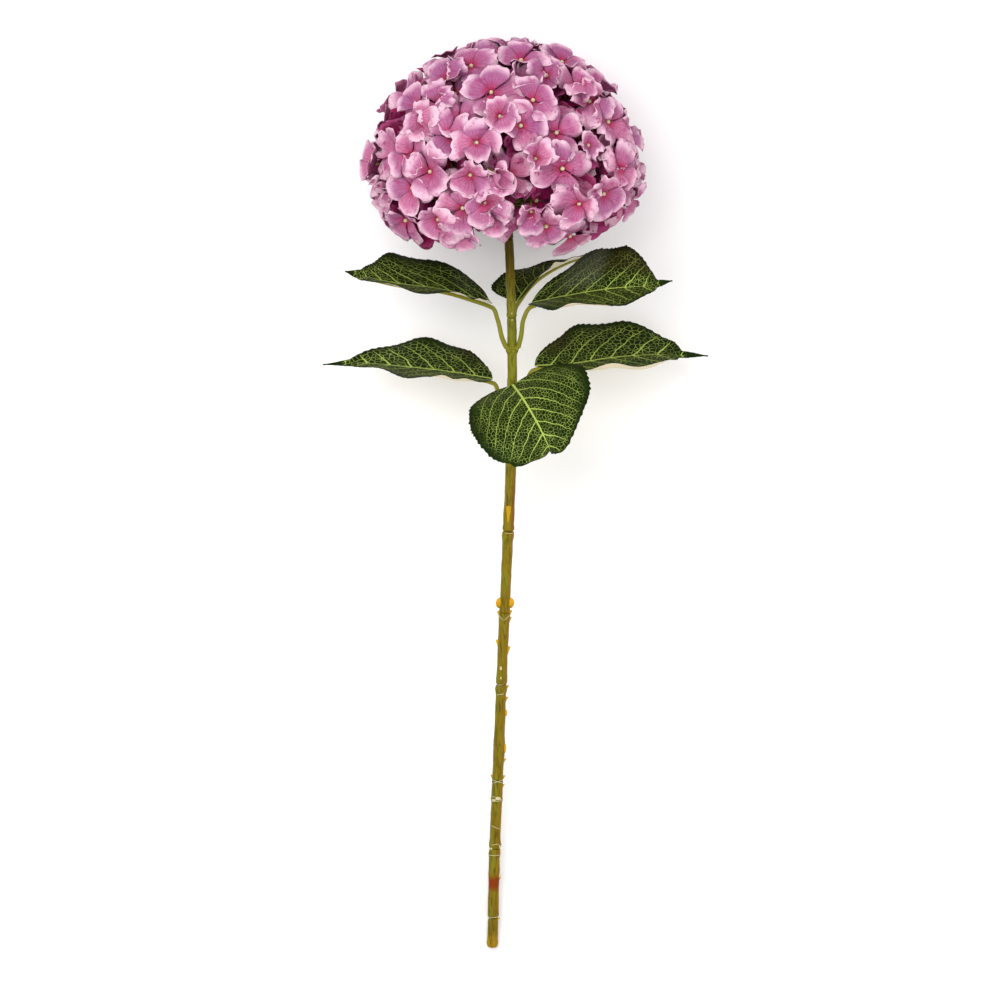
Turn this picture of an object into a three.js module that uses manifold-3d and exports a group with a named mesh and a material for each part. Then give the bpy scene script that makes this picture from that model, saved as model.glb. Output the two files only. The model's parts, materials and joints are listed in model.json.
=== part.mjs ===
// An artificial hydrangea stem, lying on its side: one mophead of fabric florets, two whorls of three
// fabric leaves on moulded leaf stalks, and a stem of moulded sleeves threaded on a steel wire.
// Millimetres, +Z up. While it is built, y runs along the stem from the cut end towards the head,
// x = 0 is at the cut end and z = 0 is the surface that it lies on.
import * as THREE from 'three';
import Module from 'manifold-3d';

const wasm = await Module();
wasm.setup();

// ---- Driving dimensions -----------------------------------------------------------------------------
const GAP = 0.3; // clearance between two pieces that touch
const WALL = 0.8; // thickness of a petal or a leaf blade

// the stem lies with its end on the surface and rises to the middle of the head
const HEAD_Y = 620; // from the cut end to the middle of the head
const AXIS_END_Z = 3.65; // height of the axis at the cut end
const AXIS_HEAD_Z = 100; // height of the axis in the middle of the head
const AXIS_DRIFT = [0, 1.8, 5, 8, 11.5, 14.7, 15.9, 14.3, 10.1]; // x at equal steps from end to head

const WIRE_RADIUS = 1.5;
const WIRE_START = 9;
const WIRE_END = 590;
const STATION_STEP = 30; // the wire and the bores that it runs in bend at the same stations
const STEM_SIDES = 10;
const WIRE_SIDES = 8;

// Each sleeve of the stem: where it starts, where it ends, and its outer radius at places between.
const SLEEVES = [
  { name: 'stem_end', outline: [[0.4, 2.6], [2.2, 4.1], [5, 4.5], [20, 4.3], [24, 3.9]] },
  { name: 'stem_sleeve_1', outline: [[24.3, 3.9], [27, 4.5], [50, 4.3], [60, 4.6], [72, 4.4], [76, 4.9],
    [80, 4.6]] },
  { name: 'stem_sleeve_2', outline: [[80.3, 4.7], [84, 4.9], [88, 4.4], [117, 4.4], [120, 5], [123, 4.5],
    [132, 4.3], [135, 4.7]] },
  { name: 'stem_sleeve_3', outline: [[135.3, 4.7], [138, 4.4], [150, 4.4], [156, 5.1], [165, 5.1],
    [171, 4.3], [204, 4.2], [209, 4.9], [212.3, 4.4]] },
  { name: 'stem_sleeve_4', outline: [[212.6, 4.2], [216, 4.5], [222, 4.2], [234, 4.1], [262, 4.4],
    [267, 4.6], [270, 4.9]] },
  { name: 'stem_sleeve_5', outline: [[270.3, 4.7], [274, 4.2], [300, 4.2], [326, 4.3], [332, 5],
    [335.2, 4.8]] },
  { name: 'stem_leaf_sleeve', outline: [[335.5, 4.1], [337, 4.8], [339, 4.8], [341, 4.4], [380, 4.3],
    [412, 4.1], [416.5, 5.4], [418, 4.1], [440, 4], [476, 3.8], [480.5, 5.2], [482, 3.8], [506.2, 3.7]] },
  { name: 'stem_neck_sleeve', outline: [[506.5, 4.1], [509, 4.1], [511, 3.7], [545, 3.6], [569, 3.6]] },
  { name: 'stem_collar', outline: [[569.3, 4], [572, 3.8], [581, 3.9], [583.2, 3.4]] },
];

const BUD_SIDES = 6;
const BUD_RINGS = [[-0.6, 0.75], [0.5, 0.85]]; // place along it and size, as shares of its half sizes
// Moulded marks on the stem: y, the way they face round the stem (0 is right, 90 is up), how far
// the middle stands off the axis, and half their length, width and height.
const BUDS = [
  { on: 'stem_sleeve_5', y: 278, turn: 165, off: 4.2, half: [4.2, 2, 1.8] },
  { on: 'stem_sleeve_5', y: 278, turn: 15, off: 4.2, half: [4.2, 2, 1.8] },
  { on: 'stem_leaf_sleeve', y: 347.5, turn: 70, off: 3.6, half: [8, 2.6, 1.9] },
  { on: 'stem_sleeve_4', y: 244, turn: 160, off: 4.1, half: [4.8, 1.6, 1.9] },
  { on: 'stem_sleeve_4', y: 238, turn: 15, off: 4.1, half: [4.8, 1.6, 1.9] },
  { on: 'stem_sleeve_4', y: 266.5, turn: 140, off: 4.3, half: [3.4, 1.8, 1.7] },
  { on: 'stem_sleeve_4', y: 266, turn: 30, off: 4.3, half: [3.4, 1.8, 1.7] },
  { on: 'stem_sleeve_3', y: 200, turn: 10, off: 4.2, half: [3.6, 1.6, 1.7] },
  { on: 'stem_sleeve_3', y: 190, turn: 20, off: 4.2, half: [3.6, 1.6, 1.7] },
  { on: 'stem_sleeve_3', y: 160.5, turn: 5, off: 4.9, half: [4.4, 1.8, 1.6] },
  { on: 'stem_sleeve_3', y: 150.5, turn: 0, off: 4.3, half: [3.4, 1.6, 1.6] },
  { on: 'stem_sleeve_3', y: 138.5, turn: 175, off: 4.4, half: [2.6, 1.6, 1.5] },
  { on: 'stem_sleeve_2', y: 130, turn: 5, off: 4.3, half: [3.2, 1.6, 1.6] },
  { on: 'stem_sleeve_1', y: 57.5, turn: 30, off: 4.3, half: [3, 1.8, 1.5] },
];

// Leaves. The midrib runs from the base of the blade to its tip. "faces" is where the upper side
// looks, from the base to the tip. The folds, in degrees, lift the left and the right half of the
// blade out of flat. The leaf stalk stands on its foot at a turn round the stem (0 is right, 90 is up)
// and passes the points of "stalk" on its way to the blade.
const UPPER_FOOT = { y: 483.5, stemRadius: 3.8 };
const LOWER_FOOT = { y: 419.5, stemRadius: 4.1 };
const BLADE_END = 0.86; // share of the length where the broad part of the blade ends
const BLADE_BASE = 0.8; // below 1, the blade is widest nearer to its base
const BLADE_FULLNESS = 0.8; // below 1, the base and the end of the broad part are blunt
const TIP_START = 0.8; // the drawn-out tip narrows from here to the end
const TIP_WIDTH = 0.085; // half its width there, as a share of the blade's
const LEAF_ROWS = 24;
const LEAF_COLUMNS = 4;
const LEAF_TOOTH = 0.035; // depth of a tooth of the edge, as a share of the half width
const LEAF_WAVES = 3.2; // ripples along the edge
const LEAF_WAVE_SHIFT = 0.23; // of a ripple, to either side, so that the two edges differ
const STALK_RADIUS = 1.75;
const RIB_TIP_RADIUS = 0.8;
const RIB_REACH = 0.7; // the rib under the blade ends at this share of its length
const RIB_SEAT = 0.8; // from the rib to the middle of the blade
const RIB_STATIONS = [0, 0.06, 0.12, 0.2, 0.3, 0.4, 0.5, 0.6, RIB_REACH]; // closer where the leaf bends
const STALK_STEPS = 9;
const STALK_SIDES = 6;
const STALK_CORNER = [0.2, 0.1, 1]; // the side of a leaf stalk that its first edge is on
const LEAVES = [
  { name: 'upper_left', halfWidth: 43, folds: [8, 14], wave: 2.2, faces: [[0, 0.94, 0.34], [0, 0.9, 0.44]],
    foot: UPPER_FOOT, turn: 150, stalk: [[7.4, 491, 86], [4, 505, 90]],
    midrib: [[-1, 517.5, 95], [-37, 527.5, 112], [-76, 532.5, 132], [-102, 538, 142], [-117, 542, 144]] },
  { name: 'upper_right', halfWidth: 43, folds: [10, 12], wave: 2.5, faces: [[0, 0.8, 0.6], [0, 0.55, 0.84]],
    foot: UPPER_FOOT, turn: 30, stalk: [[23, 492, 86], [25, 505, 90]],
    midrib: [[31, 517.5, 97], [60, 523, 116], [92, 528, 134], [120, 531.5, 142], [141, 530, 143]] },
  { name: 'upper_back', halfWidth: 34, folds: [8, 36], wave: 2, faces: [[-0.14, 0.88, 0.41], [0, 0.6, 0.8]],
    foot: UPPER_FOOT, turn: 270, stalk: [[16.2, 495, 70], [17.4, 508, 65]],
    midrib: [[19.5, 519, 58], [30, 533, 48], [43, 543.5, 38], [62, 553, 28], [86, 560, 19]] },
  { name: 'lower_left', halfWidth: 43, folds: [6.5, 18], wave: 2, faces: [[0, 0.97, 0.25], [0, 0.94, 0.34]],
    foot: LOWER_FOOT, turn: 205, stalk: [[8, 430, 66.5], [5, 444, 66]],
    midrib: [[0, 457.2, 67], [-33, 462.8, 62], [-67, 466.8, 57], [-104, 470, 51], [-136, 469, 46]] },
  { name: 'lower_right', halfWidth: 43, folds: [10, 14], wave: 2.4, faces: [[0, 0.86, 0.5], [0, 0.8, 0.6]],
    foot: LOWER_FOOT, turn: 335, stalk: [[22.4, 432, 66.5], [26, 450, 66]],
    midrib: [[34, 467.6, 67], [65, 469.6, 63], [98, 474.5, 58], [136, 477, 52], [173, 476, 46]] },
  { name: 'lower_front', halfWidth: 53, folds: [8, 16], wave: 2.4,
    faces: [[-0.4, 0.85, 0.35], [-0.2, 0.5, 0.85], [-0.2, -0.6, 0.75]],
    foot: LOWER_FOOT, turn: 90, stalk: [[14.8, 432, 79], [15, 444, 86]],
    midrib: [[16.2, 452.4, 96], [25, 440, 124], [36, 421, 146], [44, 406, 153], [45, 399, 136]] },
];

// Head. The florets stand on a dome that is rounded above and flatter below, and the core that
// carries them is the same dome made smaller, with a hollow where the stem comes in.
const FLORETS = 88;
const DOME_RADIUS = 107;
const DOME_CROWN = 104; // from the widest ring up to the top
const DOME_SKIRT = 64; // from the widest ring down to where the underside would close
const DOME_LAST_ANGLE = 130; // the florets stop at this angle from the top, round the hollow
const CORE_SCALE = 0.8;
const CORE_HOLLOW_Y = 600; // where the hollow in the underside of the core ends, on the axis
const CORE_ANGLES = [18, 40, 62, 84, 104, 124, 146]; // from the top, where the core has a ring
const CORE_SIDES = 20;
const FLORET_RADIUS = 24.5;
const LAYERS = 3; // the florets stand in this many layers, so that neighbours pass over each other
const LAYER_STEP = 6.5;
const LAYER_LOOSENESS = 1.5;
const TILT = 7; // degrees that a floret may lean, either way
const SIZES = [0.94, 1.06]; // smallest and largest floret, as shares of the radius
const PEDICEL_REACH = 0.74; // the pedicels end inside the core, at this share of the dome
const PEDICEL_RADIUS = 1.5;
const PEDICEL_SIDES = 3;
const BEAD_RADIUS = 2.4;
const BEAD_HEIGHT = 2.2;
const HUB_OUTLINE = [[583.5, 3.6], [586, 4.1], [592, 3.9], [598.3, 2.4]];
const BRANCHLETS = 8;
const BRANCHLET_WAY = [[2, 588], [14, 590.6], [28, 584.9], [40, 579.4]]; // radius from the axis, and y
const BRANCHLET_RADII = [1.5, 1.3, 1.2, 1];
const BRANCHLET_SIDES = 4;
// one petal's outline: angle from its middle line, share of the floret's radius, and lift
const PETAL = [[-45, 0.62, -0.5], [-27, 0.93, -1.2], [4, 1, 0.2], [31, 0.86, 2.4]];
const PETALS = 4;
const SEED = 7;

// The lowest petals are pressed level by the surface: a height well above it stays as it is.
const FLOOR_Z = 0.5;
const FLOOR_SOFTNESS = 1.6;

const COLOURS = {
  petal: { color: 0xc88bb0, roughness: 0.8, metalness: 0 },
  leaf: { color: 0x2f5a2c, roughness: 0.6, metalness: 0 },
  stalk: { color: 0xa8a04a, roughness: 0.5, metalness: 0 },
  stem: { color: 0x87803a, roughness: 0.5, metalness: 0 },
  wire: { color: 0x9a9a98, roughness: 0.4, metalness: 0.9 },
};

// ---- Small tools ------------------------------------------------------------------------------------
const vec = (p) => new THREE.Vector3(...p);
const radians = THREE.MathUtils.degToRad;
const lerp = THREE.MathUtils.lerp;

/** A repeatable stream of numbers from 0 to 1. */
function draws(seed) {
  let state = seed >>> 0;
  return () => {
    state = (Math.imul(state, 1664525) + 1013904223) >>> 0;
    return state / 4294967296;
  };
}

/** A closed body from points (Vector3) and triangles (three indices each). */
function body(points, triangles) {
  const mesh = new wasm.Mesh({
    numProp: 3,
    vertProperties: new Float32Array(points.flatMap((p) => [p.x, p.y, p.z])),
    triVerts: new Uint32Array(triangles.flat()),
  });
  return new wasm.Manifold(mesh);
}

function fused(bodies) {
  return bodies.reduce((sum, next) => sum.add(next));
}

function geometryOf(solid) {
  const mesh = solid.getMesh();
  const geometry = new THREE.BufferGeometry();
  geometry.setAttribute('position', new THREE.BufferAttribute(new Float32Array(mesh.vertProperties), 3));
  geometry.setIndex(new THREE.BufferAttribute(new Uint32Array(mesh.triVerts), 1));
  geometry.computeVertexNormals();
  return geometry;
}

/** Triangles of the wall between two rings of n points that start at a and at b. */
function band(a, b, n) {
  const triangles = [];
  for (let i = 0; i < n; i += 1) {
    const j = (i + 1) % n;
    triangles.push([a + i, a + j, b + j], [a + i, b + j, b + i]);
  }
  return triangles;
}

/** Triangles between an inner loop of m points and an outer loop of n, both turning left. */
function ringPlate(inner, m, outer, n) {
  const triangles = [];
  for (let i = 0; i < n; i += 1) {
    const next = outer + ((i + 1) % n);
    const from = inner + Math.floor((i * m) / n);
    const to = inner + (Math.floor(((i + 1) * m) / n) % m);
    triangles.push([from, outer + i, next]);
    if (to !== from) triangles.push([from, next, to]);
  }
  return triangles;
}

const turnedOver = (triangles) => triangles.map(([a, b, c]) => [a, c, b]);

/** A body through rings of points, closed by a fan at either end. Rings turn left round their way. */
function ringBody(rings, firstCentre, lastCentre) {
  const n = rings[0].length;
  const points = [firstCentre, ...rings.flat(), lastCentre];
  const last = points.length - 1;
  const triangles = rings.slice(1).flatMap((ring, k) => band(1 + k * n, 1 + (k + 1) * n, n));
  for (let i = 0; i < n; i += 1) {
    const j = (i + 1) % n;
    triangles.push([0, 1 + j, 1 + i], [last, last - n + i, last - n + j]);
  }
  return body(points, triangles);
}

/** Points of a ring round a centre, turning left about the direction "along", from the side "start". */
function ring(centre, along, start, radius, sides) {
  const side = start.clone().addScaledVector(along, -start.dot(along)).normalize();
  const up = along.clone().cross(side);
  return Array.from({ length: sides }, (_, i) => {
    const turn = (2 * Math.PI * i) / sides;
    return centre.clone()
      .addScaledVector(side, radius * Math.cos(turn))
      .addScaledVector(up, radius * Math.sin(turn));
  });
}

/** A smooth curve through points, given as triples of numbers. */
function curveThrough(points) {
  return new THREE.CatmullRomCurve3(points.map(vec), false, 'catmullrom', 0.5);
}

/** A round rod along points, with a radius at each, closed at both ends. */
function rod(points, radii, sides, start) {
  const last = points.length - 1;
  const rings = points.map((p, i) => {
    const along = points[Math.min(i + 1, last)].clone().sub(points[Math.max(i - 1, 0)]).normalize();
    return ring(p, along, start, radii[i], sides);
  });
  return ringBody(rings, points[0], points[last]);
}

const softFloor = (z) => FLOOR_Z + FLOOR_SOFTNESS * Math.log1p(Math.exp((z - FLOOR_Z) / FLOOR_SOFTNESS));

// ---- Stem -------------------------------------------------------------------------------------------
const axisCurve = curveThrough(AXIS_DRIFT.map((x, i) => {
  const share = i / (AXIS_DRIFT.length - 1);
  return [x, share * HEAD_Y, lerp(AXIS_END_Z, AXIS_HEAD_Z, share)];
}));
const RIGHT = new THREE.Vector3(1, 0, 0);

/** The stem's axis at y, and its direction there. */
function axisAt(y) {
  const share = THREE.MathUtils.clamp(y / HEAD_Y, 0, 1);
  return { point: axisCurve.getPoint(share), along: axisCurve.getTangent(share) };
}

/** Places between two values of y where the wire and its bores bend, with both ends. */
function stations(from, to) {
  const list = [from];
  for (let y = Math.ceil(from / STATION_STEP) * STATION_STEP; y < to; y += STATION_STEP) {
    if (y > from + 1 && y < to - 1) list.push(y);
  }
  return [...list, to];
}

function stemRing(y, radius) {
  const { point, along } = axisAt(y);
  return ring(point, along, RIGHT, radius, STEM_SIDES);
}

/** The way out from the axis at a turn round the stem. */
function outwards(turn, along) {
  const up = RIGHT.clone().cross(along).multiplyScalar(Math.sin(radians(turn)));
  return RIGHT.clone().multiplyScalar(Math.cos(radians(turn))).add(up);
}

/** A point at a distance from the axis. */
function beside(y, turn, distance) {
  const { point, along } = axisAt(y);
  return point.addScaledVector(outwards(turn, along), distance);
}

/** A sleeve of the stem, round a bore for the wire. A bore that stops short leaves that end closed. */
function sleeve(outline, boreFrom = outline[0][0], boreTo = outline.at(-1)[0]) {
  const [start, end] = [outline[0][0], outline.at(-1)[0]];
  const outer = outline.map(([y, radius]) => stemRing(y, radius));
  const inner = stations(boreFrom, boreTo).map((y) => stemRing(y, WIRE_RADIUS + GAP)).reverse();
  if (boreFrom > start) return ringBody([...outer, ...inner], axisAt(start).point, axisAt(boreFrom).point);
  if (boreTo < end) return ringBody([...inner, ...outer], axisAt(boreTo).point, axisAt(end).point);
  const rings = [...outer, ...inner];
  const n = STEM_SIDES;
  return body(rings.flat(), rings.flatMap((_, k) => band(k * n, ((k + 1) % rings.length) * n, n)));
}

/** A small moulded mark, a faceted bead half sunk in the stem. */
function bud({ y, turn, off, half }) {
  const { along } = axisAt(y);
  const out = outwards(turn, along);
  const across = out.clone().cross(along);
  const centre = beside(y, turn, off);
  const [halfLength, halfWidth, halfHeight] = half;
  const at = (a, b, c) => centre.clone().addScaledVector(along, a * halfLength)
    .addScaledVector(across, b * halfWidth).addScaledVector(out, c * halfHeight);
  const rings = BUD_RINGS.map(([place, size]) => Array.from({ length: BUD_SIDES }, (_, i) => {
    const angle = (2 * Math.PI * i) / BUD_SIDES;
    return at(place, size * Math.cos(angle), size * Math.sin(angle));
  }));
  return ringBody(rings, at(-1, 0, 0), at(1, 0, 0));
}

// ---- Leaves -----------------------------------------------------------------------------------------
/** Half the width of an ovate blade with a drawn-out tip, as a share of its widest, at t from 0 to 1. */
function bladeWidth(t) {
  const share = Math.min(t / BLADE_END, 1);
  const broad = Math.max(Math.sin(Math.PI * share ** BLADE_BASE), 0) ** BLADE_FULLNESS;
  return t > TIP_START ? Math.max(broad, (TIP_WIDTH * (1 - t)) / (1 - TIP_START)) : broad;
}

/** The frame of a blade at t: its middle, direction, upper side and the side to the left of the midrib. */
function bladeFrame(leaf, t) {
  const curve = curveThrough(leaf.midrib);
  const point = curve.getPoint(t);
  const along = curve.getTangent(t);
  const face = curveThrough(leaf.faces).getPoint(t);
  const up = face.addScaledVector(along, -face.dot(along)).normalize();
  return { point, along, up, left: up.clone().cross(along) };
}

/** A point of the blade's middle surface: v runs from -1 at the right edge to 1 at the left edge. */
function bladePoint(leaf, t, v, width) {
  const { point, up, left } = bladeFrame(leaf, t);
  const fold = radians(v > 0 ? leaf.folds[0] : leaf.folds[1]);
  const reach = Math.abs(v) * width;
  const wave = leaf.wave * v * v * Math.sin(2 * Math.PI * (LEAF_WAVES * t + LEAF_WAVE_SHIFT * Math.sign(v)));
  const lift = reach * Math.sin(fold) + wave * Math.sin(Math.PI * t);
  return point.addScaledVector(left, Math.sign(v) * reach * Math.cos(fold)).addScaledVector(up, lift);
}

/** A blade: a grid of the middle surface, made thick to both sides, split alike on both faces. */
function blade(leaf) {
  const columns = LEAF_COLUMNS + 1;
  const grid = Array.from({ length: LEAF_ROWS + 1 }, (_, i) => {
    const t = i / LEAF_ROWS;
    const tooth = 1 + (i % 2 ? LEAF_TOOTH : -LEAF_TOOTH);
    const width = Math.max(leaf.halfWidth * bladeWidth(t) * tooth, 1);
    return Array.from({ length: columns }, (_, j) => bladePoint(leaf, t, (2 * j) / LEAF_COLUMNS - 1, width));
  });
  const clampRow = (i) => THREE.MathUtils.clamp(i, 0, LEAF_ROWS);
  const clampColumn = (j) => THREE.MathUtils.clamp(j, 0, LEAF_COLUMNS);
  const normal = (i, j) => {
    const along = grid[clampRow(i + 1)][j].clone().sub(grid[clampRow(i - 1)][j]);
    const across = grid[i][clampColumn(j + 1)].clone().sub(grid[i][clampColumn(j - 1)]);
    return along.cross(across).normalize();
  };
  const moved = (distance) => grid.flatMap((row, i) => row.map((p, j) => (
    p.clone().addScaledVector(normal(i, j), distance))));
  const points = [...moved(WALL / 2), ...moved(-WALL / 2)];
  const under = points.length / 2;
  const triangles = [];
  for (let i = 0; i < LEAF_ROWS; i += 1) {
    for (let j = 0; j < LEAF_COLUMNS; j += 1) {
      const a = i * columns + j;
      const [b, c, d] = [a + 1, a + columns + 1, a + columns];
      triangles.push([a, c, b], [a, d, c]);
      triangles.push([under + a, under + b, under + c], [under + a, under + c, under + d]);
    }
  }
  const rim = [
    ...Array.from({ length: LEAF_COLUMNS }, (_, j) => j),
    ...Array.from({ length: LEAF_ROWS }, (_, i) => i * columns + LEAF_COLUMNS),
    ...Array.from({ length: LEAF_COLUMNS }, (_, j) => LEAF_ROWS * columns + LEAF_COLUMNS - j),
    ...Array.from({ length: LEAF_ROWS }, (_, i) => (LEAF_ROWS - i) * columns),
  ];
  rim.forEach((a, k) => {
    const b = rim[(k + 1) % rim.length];
    triangles.push([a, b, under + b], [a, under + b, under + a]);
  });
  return body(points, triangles);
}

/** A leaf stalk: from its foot on the stem to the blade, and on as the rib under the blade. */
function leafStalk(leaf) {
  const underBlade = RIB_STATIONS.map((t) => {
    const { point, up } = bladeFrame(leaf, t);
    const radius = lerp(STALK_RADIUS, RIB_TIP_RADIUS, t / RIB_REACH);
    return { point: point.addScaledVector(up, -(RIB_SEAT + radius)), radius };
  });
  const foot = beside(leaf.foot.y, leaf.turn, leaf.foot.stemRadius + GAP + STALK_RADIUS);
  const way = curveThrough([foot.toArray(), ...leaf.stalk, underBlade[0].point.toArray()]);
  const stalk = way.getPoints(STALK_STEPS).slice(0, -1).map((point) => ({ point, radius: STALK_RADIUS }));
  const all = [...stalk, ...underBlade];
  return rod(all.map((s) => s.point), all.map((s) => s.radius), STALK_SIDES, vec(STALK_CORNER));
}

// ---- Head -------------------------------------------------------------------------------------------
const headFrame = axisAt(HEAD_Y);
const headRight = RIGHT.clone().addScaledVector(headFrame.along, -headFrame.along.x).normalize();
const headUp = headRight.clone().cross(headFrame.along);

/** A point of the head from its radius, its height up the axis from the middle, and its turn. */
function headPoint(radius, height, turn) {
  return headFrame.point.clone()
    .addScaledVector(headRight, radius * Math.cos(turn))
    .addScaledVector(headUp, radius * Math.sin(turn))
    .addScaledVector(headFrame.along, height);
}

/** The same point, pressed level where it is close to the surface. */
function press(point) {
  point.z = softFloor(point.z);
  return point;
}

/** Radius and height of the dome at an angle from its top. */
function domeProfile(angle) {
  const height = Math.cos(angle) * (angle < Math.PI / 2 ? DOME_CROWN : DOME_SKIRT);
  return { radius: DOME_RADIUS * Math.sin(angle), height };
}

/** Angles from the top that share the dome's area evenly. */
function domeAngles(count) {
  const steps = 400;
  const last = radians(DOME_LAST_ANGLE);
  const area = [0];
  for (let i = 1; i <= steps; i += 1) {
    const a = domeProfile((last * (i - 1)) / steps);
    const b = domeProfile((last * i) / steps);
    const length = Math.hypot(b.radius - a.radius, b.height - a.height);
    area.push(area[i - 1] + length * (a.radius + b.radius));
  }
  return Array.from({ length: count }, (_, k) => {
    const wanted = (area[steps] * (k + 0.5)) / count;
    const i = area.findIndex((value) => value >= wanted);
    return (last * (i - (area[i] - wanted) / (area[i] - area[i - 1]))) / steps;
  });
}

/** A layer for each point, the one whose earlier points are the furthest away. */
function layersApart(points) {
  const layers = [];
  points.forEach((p) => {
    const room = Array(LAYERS).fill(Infinity);
    layers.forEach((layer, i) => {
      room[layer] = Math.min(room[layer], points[i].distanceTo(p));
    });
    layers.push(room.indexOf(Math.max(...room)));
  });
  return layers;
}

/** Where each floret stands: its middle, face, side to turn from, spin, size and inner end. */
function floretPlaces() {
  const draw = draws(SEED);
  const golden = Math.PI * (3 - Math.sqrt(5));
  const angles = domeAngles(FLORETS);
  const layers = layersApart(angles.map((angle, k) => {
    const { radius, height } = domeProfile(angle);
    return headPoint(radius, height, k * golden);
  }));
  return angles.map((angle, k) => {
    const turn = k * golden;
    const { radius, height } = domeProfile(angle);
    const steep = angle < Math.PI / 2 ? DOME_CROWN : DOME_SKIRT;
    const slope = Math.atan2(height / steep ** 2, radius / DOME_RADIUS ** 2);
    const out = headPoint(Math.cos(slope), Math.sin(slope), turn).sub(headFrame.point);
    const side = headPoint(-Math.sin(slope), Math.cos(slope), turn).sub(headFrame.point);
    const across = out.clone().cross(side);
    const lean = () => radians(TILT) * (2 * draw() - 1);
    const face = out.clone().addScaledVector(side, lean()).addScaledVector(across, lean()).normalize();
    const depth = LAYER_STEP * layers[k] + LAYER_LOOSENESS * draw();
    const spin = draw() * 2 * Math.PI;
    const size = FLORET_RADIUS * lerp(...SIZES, draw());
    const middle = headPoint(radius, height, turn).addScaledVector(out, -depth);
    const root = headPoint(radius * PEDICEL_REACH, height * PEDICEL_REACH, turn);
    return { middle, face, side, spin, size, root };
  });
}

/** One floret: four petals in one thin shell, with its bead in front and its pedicel behind. */
function floret({ middle, face, side, spin, size, root }) {
  const [u] = ring(new THREE.Vector3(), face, side, 1, 1);
  const w = face.clone().cross(u);
  const at = (degrees, distance, lift) => {
    const angle = spin + radians(degrees);
    return press(middle.clone().addScaledVector(u, distance * Math.cos(angle))
      .addScaledVector(w, distance * Math.sin(angle)).addScaledVector(face, lift));
  };
  const loop = (sides, radius) => Array.from({ length: sides }, (_, p) => at((360 * p) / sides, radius, 0));
  const moved = (points, distance) => points.map((p) => p.clone().addScaledVector(face, distance));
  const rim = Array.from({ length: PETALS }, (_, p) => PETAL.map(([degrees, share, lift]) => (
    at(degrees + (360 * p) / PETALS, share * size, lift)))).flat();
  const stalkTop = loop(PEDICEL_SIDES, PEDICEL_RADIUS);
  const rootMove = root.clone().sub(middle);
  const points = [
    ...moved([at(0, 0, BEAD_HEIGHT), ...loop(PETALS, BEAD_RADIUS), ...rim], WALL / 2),
    ...moved([...rim, ...stalkTop], -WALL / 2),
    ...stalkTop.map((p) => p.clone().add(rootMove)),
  ];
  const n = rim.length;
  const [tip, bead, front, back] = [0, 1, 1 + PETALS, 1 + PETALS + n];
  const [stalk, end] = [back + n, back + n + PEDICEL_SIDES];
  const triangles = [
    ...ringPlate(bead, PETALS, front, n),
    ...turnedOver(ringPlate(stalk, PEDICEL_SIDES, back, n)),
    ...band(back, front, n),
    ...band(end, stalk, PEDICEL_SIDES),
    [end, end + 2, end + 1],
  ];
  for (let p = 0; p < PETALS; p += 1) triangles.push([tip, bead + p, bead + ((p + 1) % PETALS)]);
  return body(points, triangles);
}

/** The flower stalk: a hub on the end of the wire, and branchlets that spread under the core. */
function flowerStalk() {
  const hub = sleeve(HUB_OUTLINE, undefined, WIRE_END + GAP);
  const branchlets = Array.from({ length: BRANCHLETS }, (_, i) => {
    const turn = (2 * Math.PI * (i + 0.5)) / BRANCHLETS;
    const way = BRANCHLET_WAY.map(([radius, y]) => headPoint(radius, y - HEAD_Y, turn));
    return rod(way, BRANCHLET_RADII, BRANCHLET_SIDES, headFrame.along);
  });
  return fused([hub, ...branchlets]);
}

/** The core: the dome made smaller, hollowed where the stem comes in. */
function headCore() {
  const rings = CORE_ANGLES.map((angle) => {
    const { radius, height } = domeProfile(radians(angle));
    return Array.from({ length: CORE_SIDES }, (_, i) => (
      headPoint(radius * CORE_SCALE, height * CORE_SCALE, (2 * Math.PI * i) / CORE_SIDES)));
  });
  return ringBody(rings, headPoint(0, DOME_CROWN * CORE_SCALE, 0), headPoint(0, CORE_HOLLOW_Y - HEAD_Y, 0));
}

// ---- The object -------------------------------------------------------------------------------------
const object = new THREE.Group();

function addPiece(name, solid, look) {
  const piece = new THREE.Mesh(geometryOf(solid), new THREE.MeshStandardMaterial(COLOURS[look]));
  piece.name = name;
  object.add(piece);
}

SLEEVES.forEach(({ name, outline }) => {
  const plain = sleeve(outline, Math.max(outline[0][0], WIRE_START - GAP));
  const marks = BUDS.filter(({ on }) => on === name).map(bud);
  addPiece(name, fused([plain, ...marks]), 'stem');
});

const wireWay = stations(WIRE_START, WIRE_END).map((y) => axisAt(y).point);
addPiece('stem_wire', rod(wireWay, wireWay.map(() => WIRE_RADIUS), WIRE_SIDES, RIGHT), 'wire');

addPiece('flower_stalk', flowerStalk(), 'stalk');

LEAVES.forEach((leaf) => {
  addPiece(`leaf_stalk_${leaf.name}`, leafStalk(leaf), 'stalk');
  addPiece(`leaf_${leaf.name}`, blade(leaf), 'leaf');
});

addPiece('flower_head', fused([headCore(), ...floretPlaces().map(floret)]), 'petal');

// the origin goes to the middle of the underside of the whole
const bounds = new THREE.Box3().setFromObject(object);
const middle = bounds.getCenter(new THREE.Vector3());
object.position.set(-middle.x, -middle.y, -bounds.min.z);

export default object;
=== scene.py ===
# %% [markdown]
# # An artificial hydrangea stem
# One stem lies on a pale floor and the camera looks straight down on it. Its flower head is a dome
# of fabric florets, its leaves are printed fabric on moulded leaf stalks, and its stem is a row of
# moulded plastic sleeves threaded on a wire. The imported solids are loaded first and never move:
# everything made here is drawn round them, in metres, with +Y along the stem towards the head.

# %% The frame
import json
import math
import random

import bpy
from mathutils import Matrix, Vector, noise
from mathutils.bvhtree import BVHTree

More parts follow.
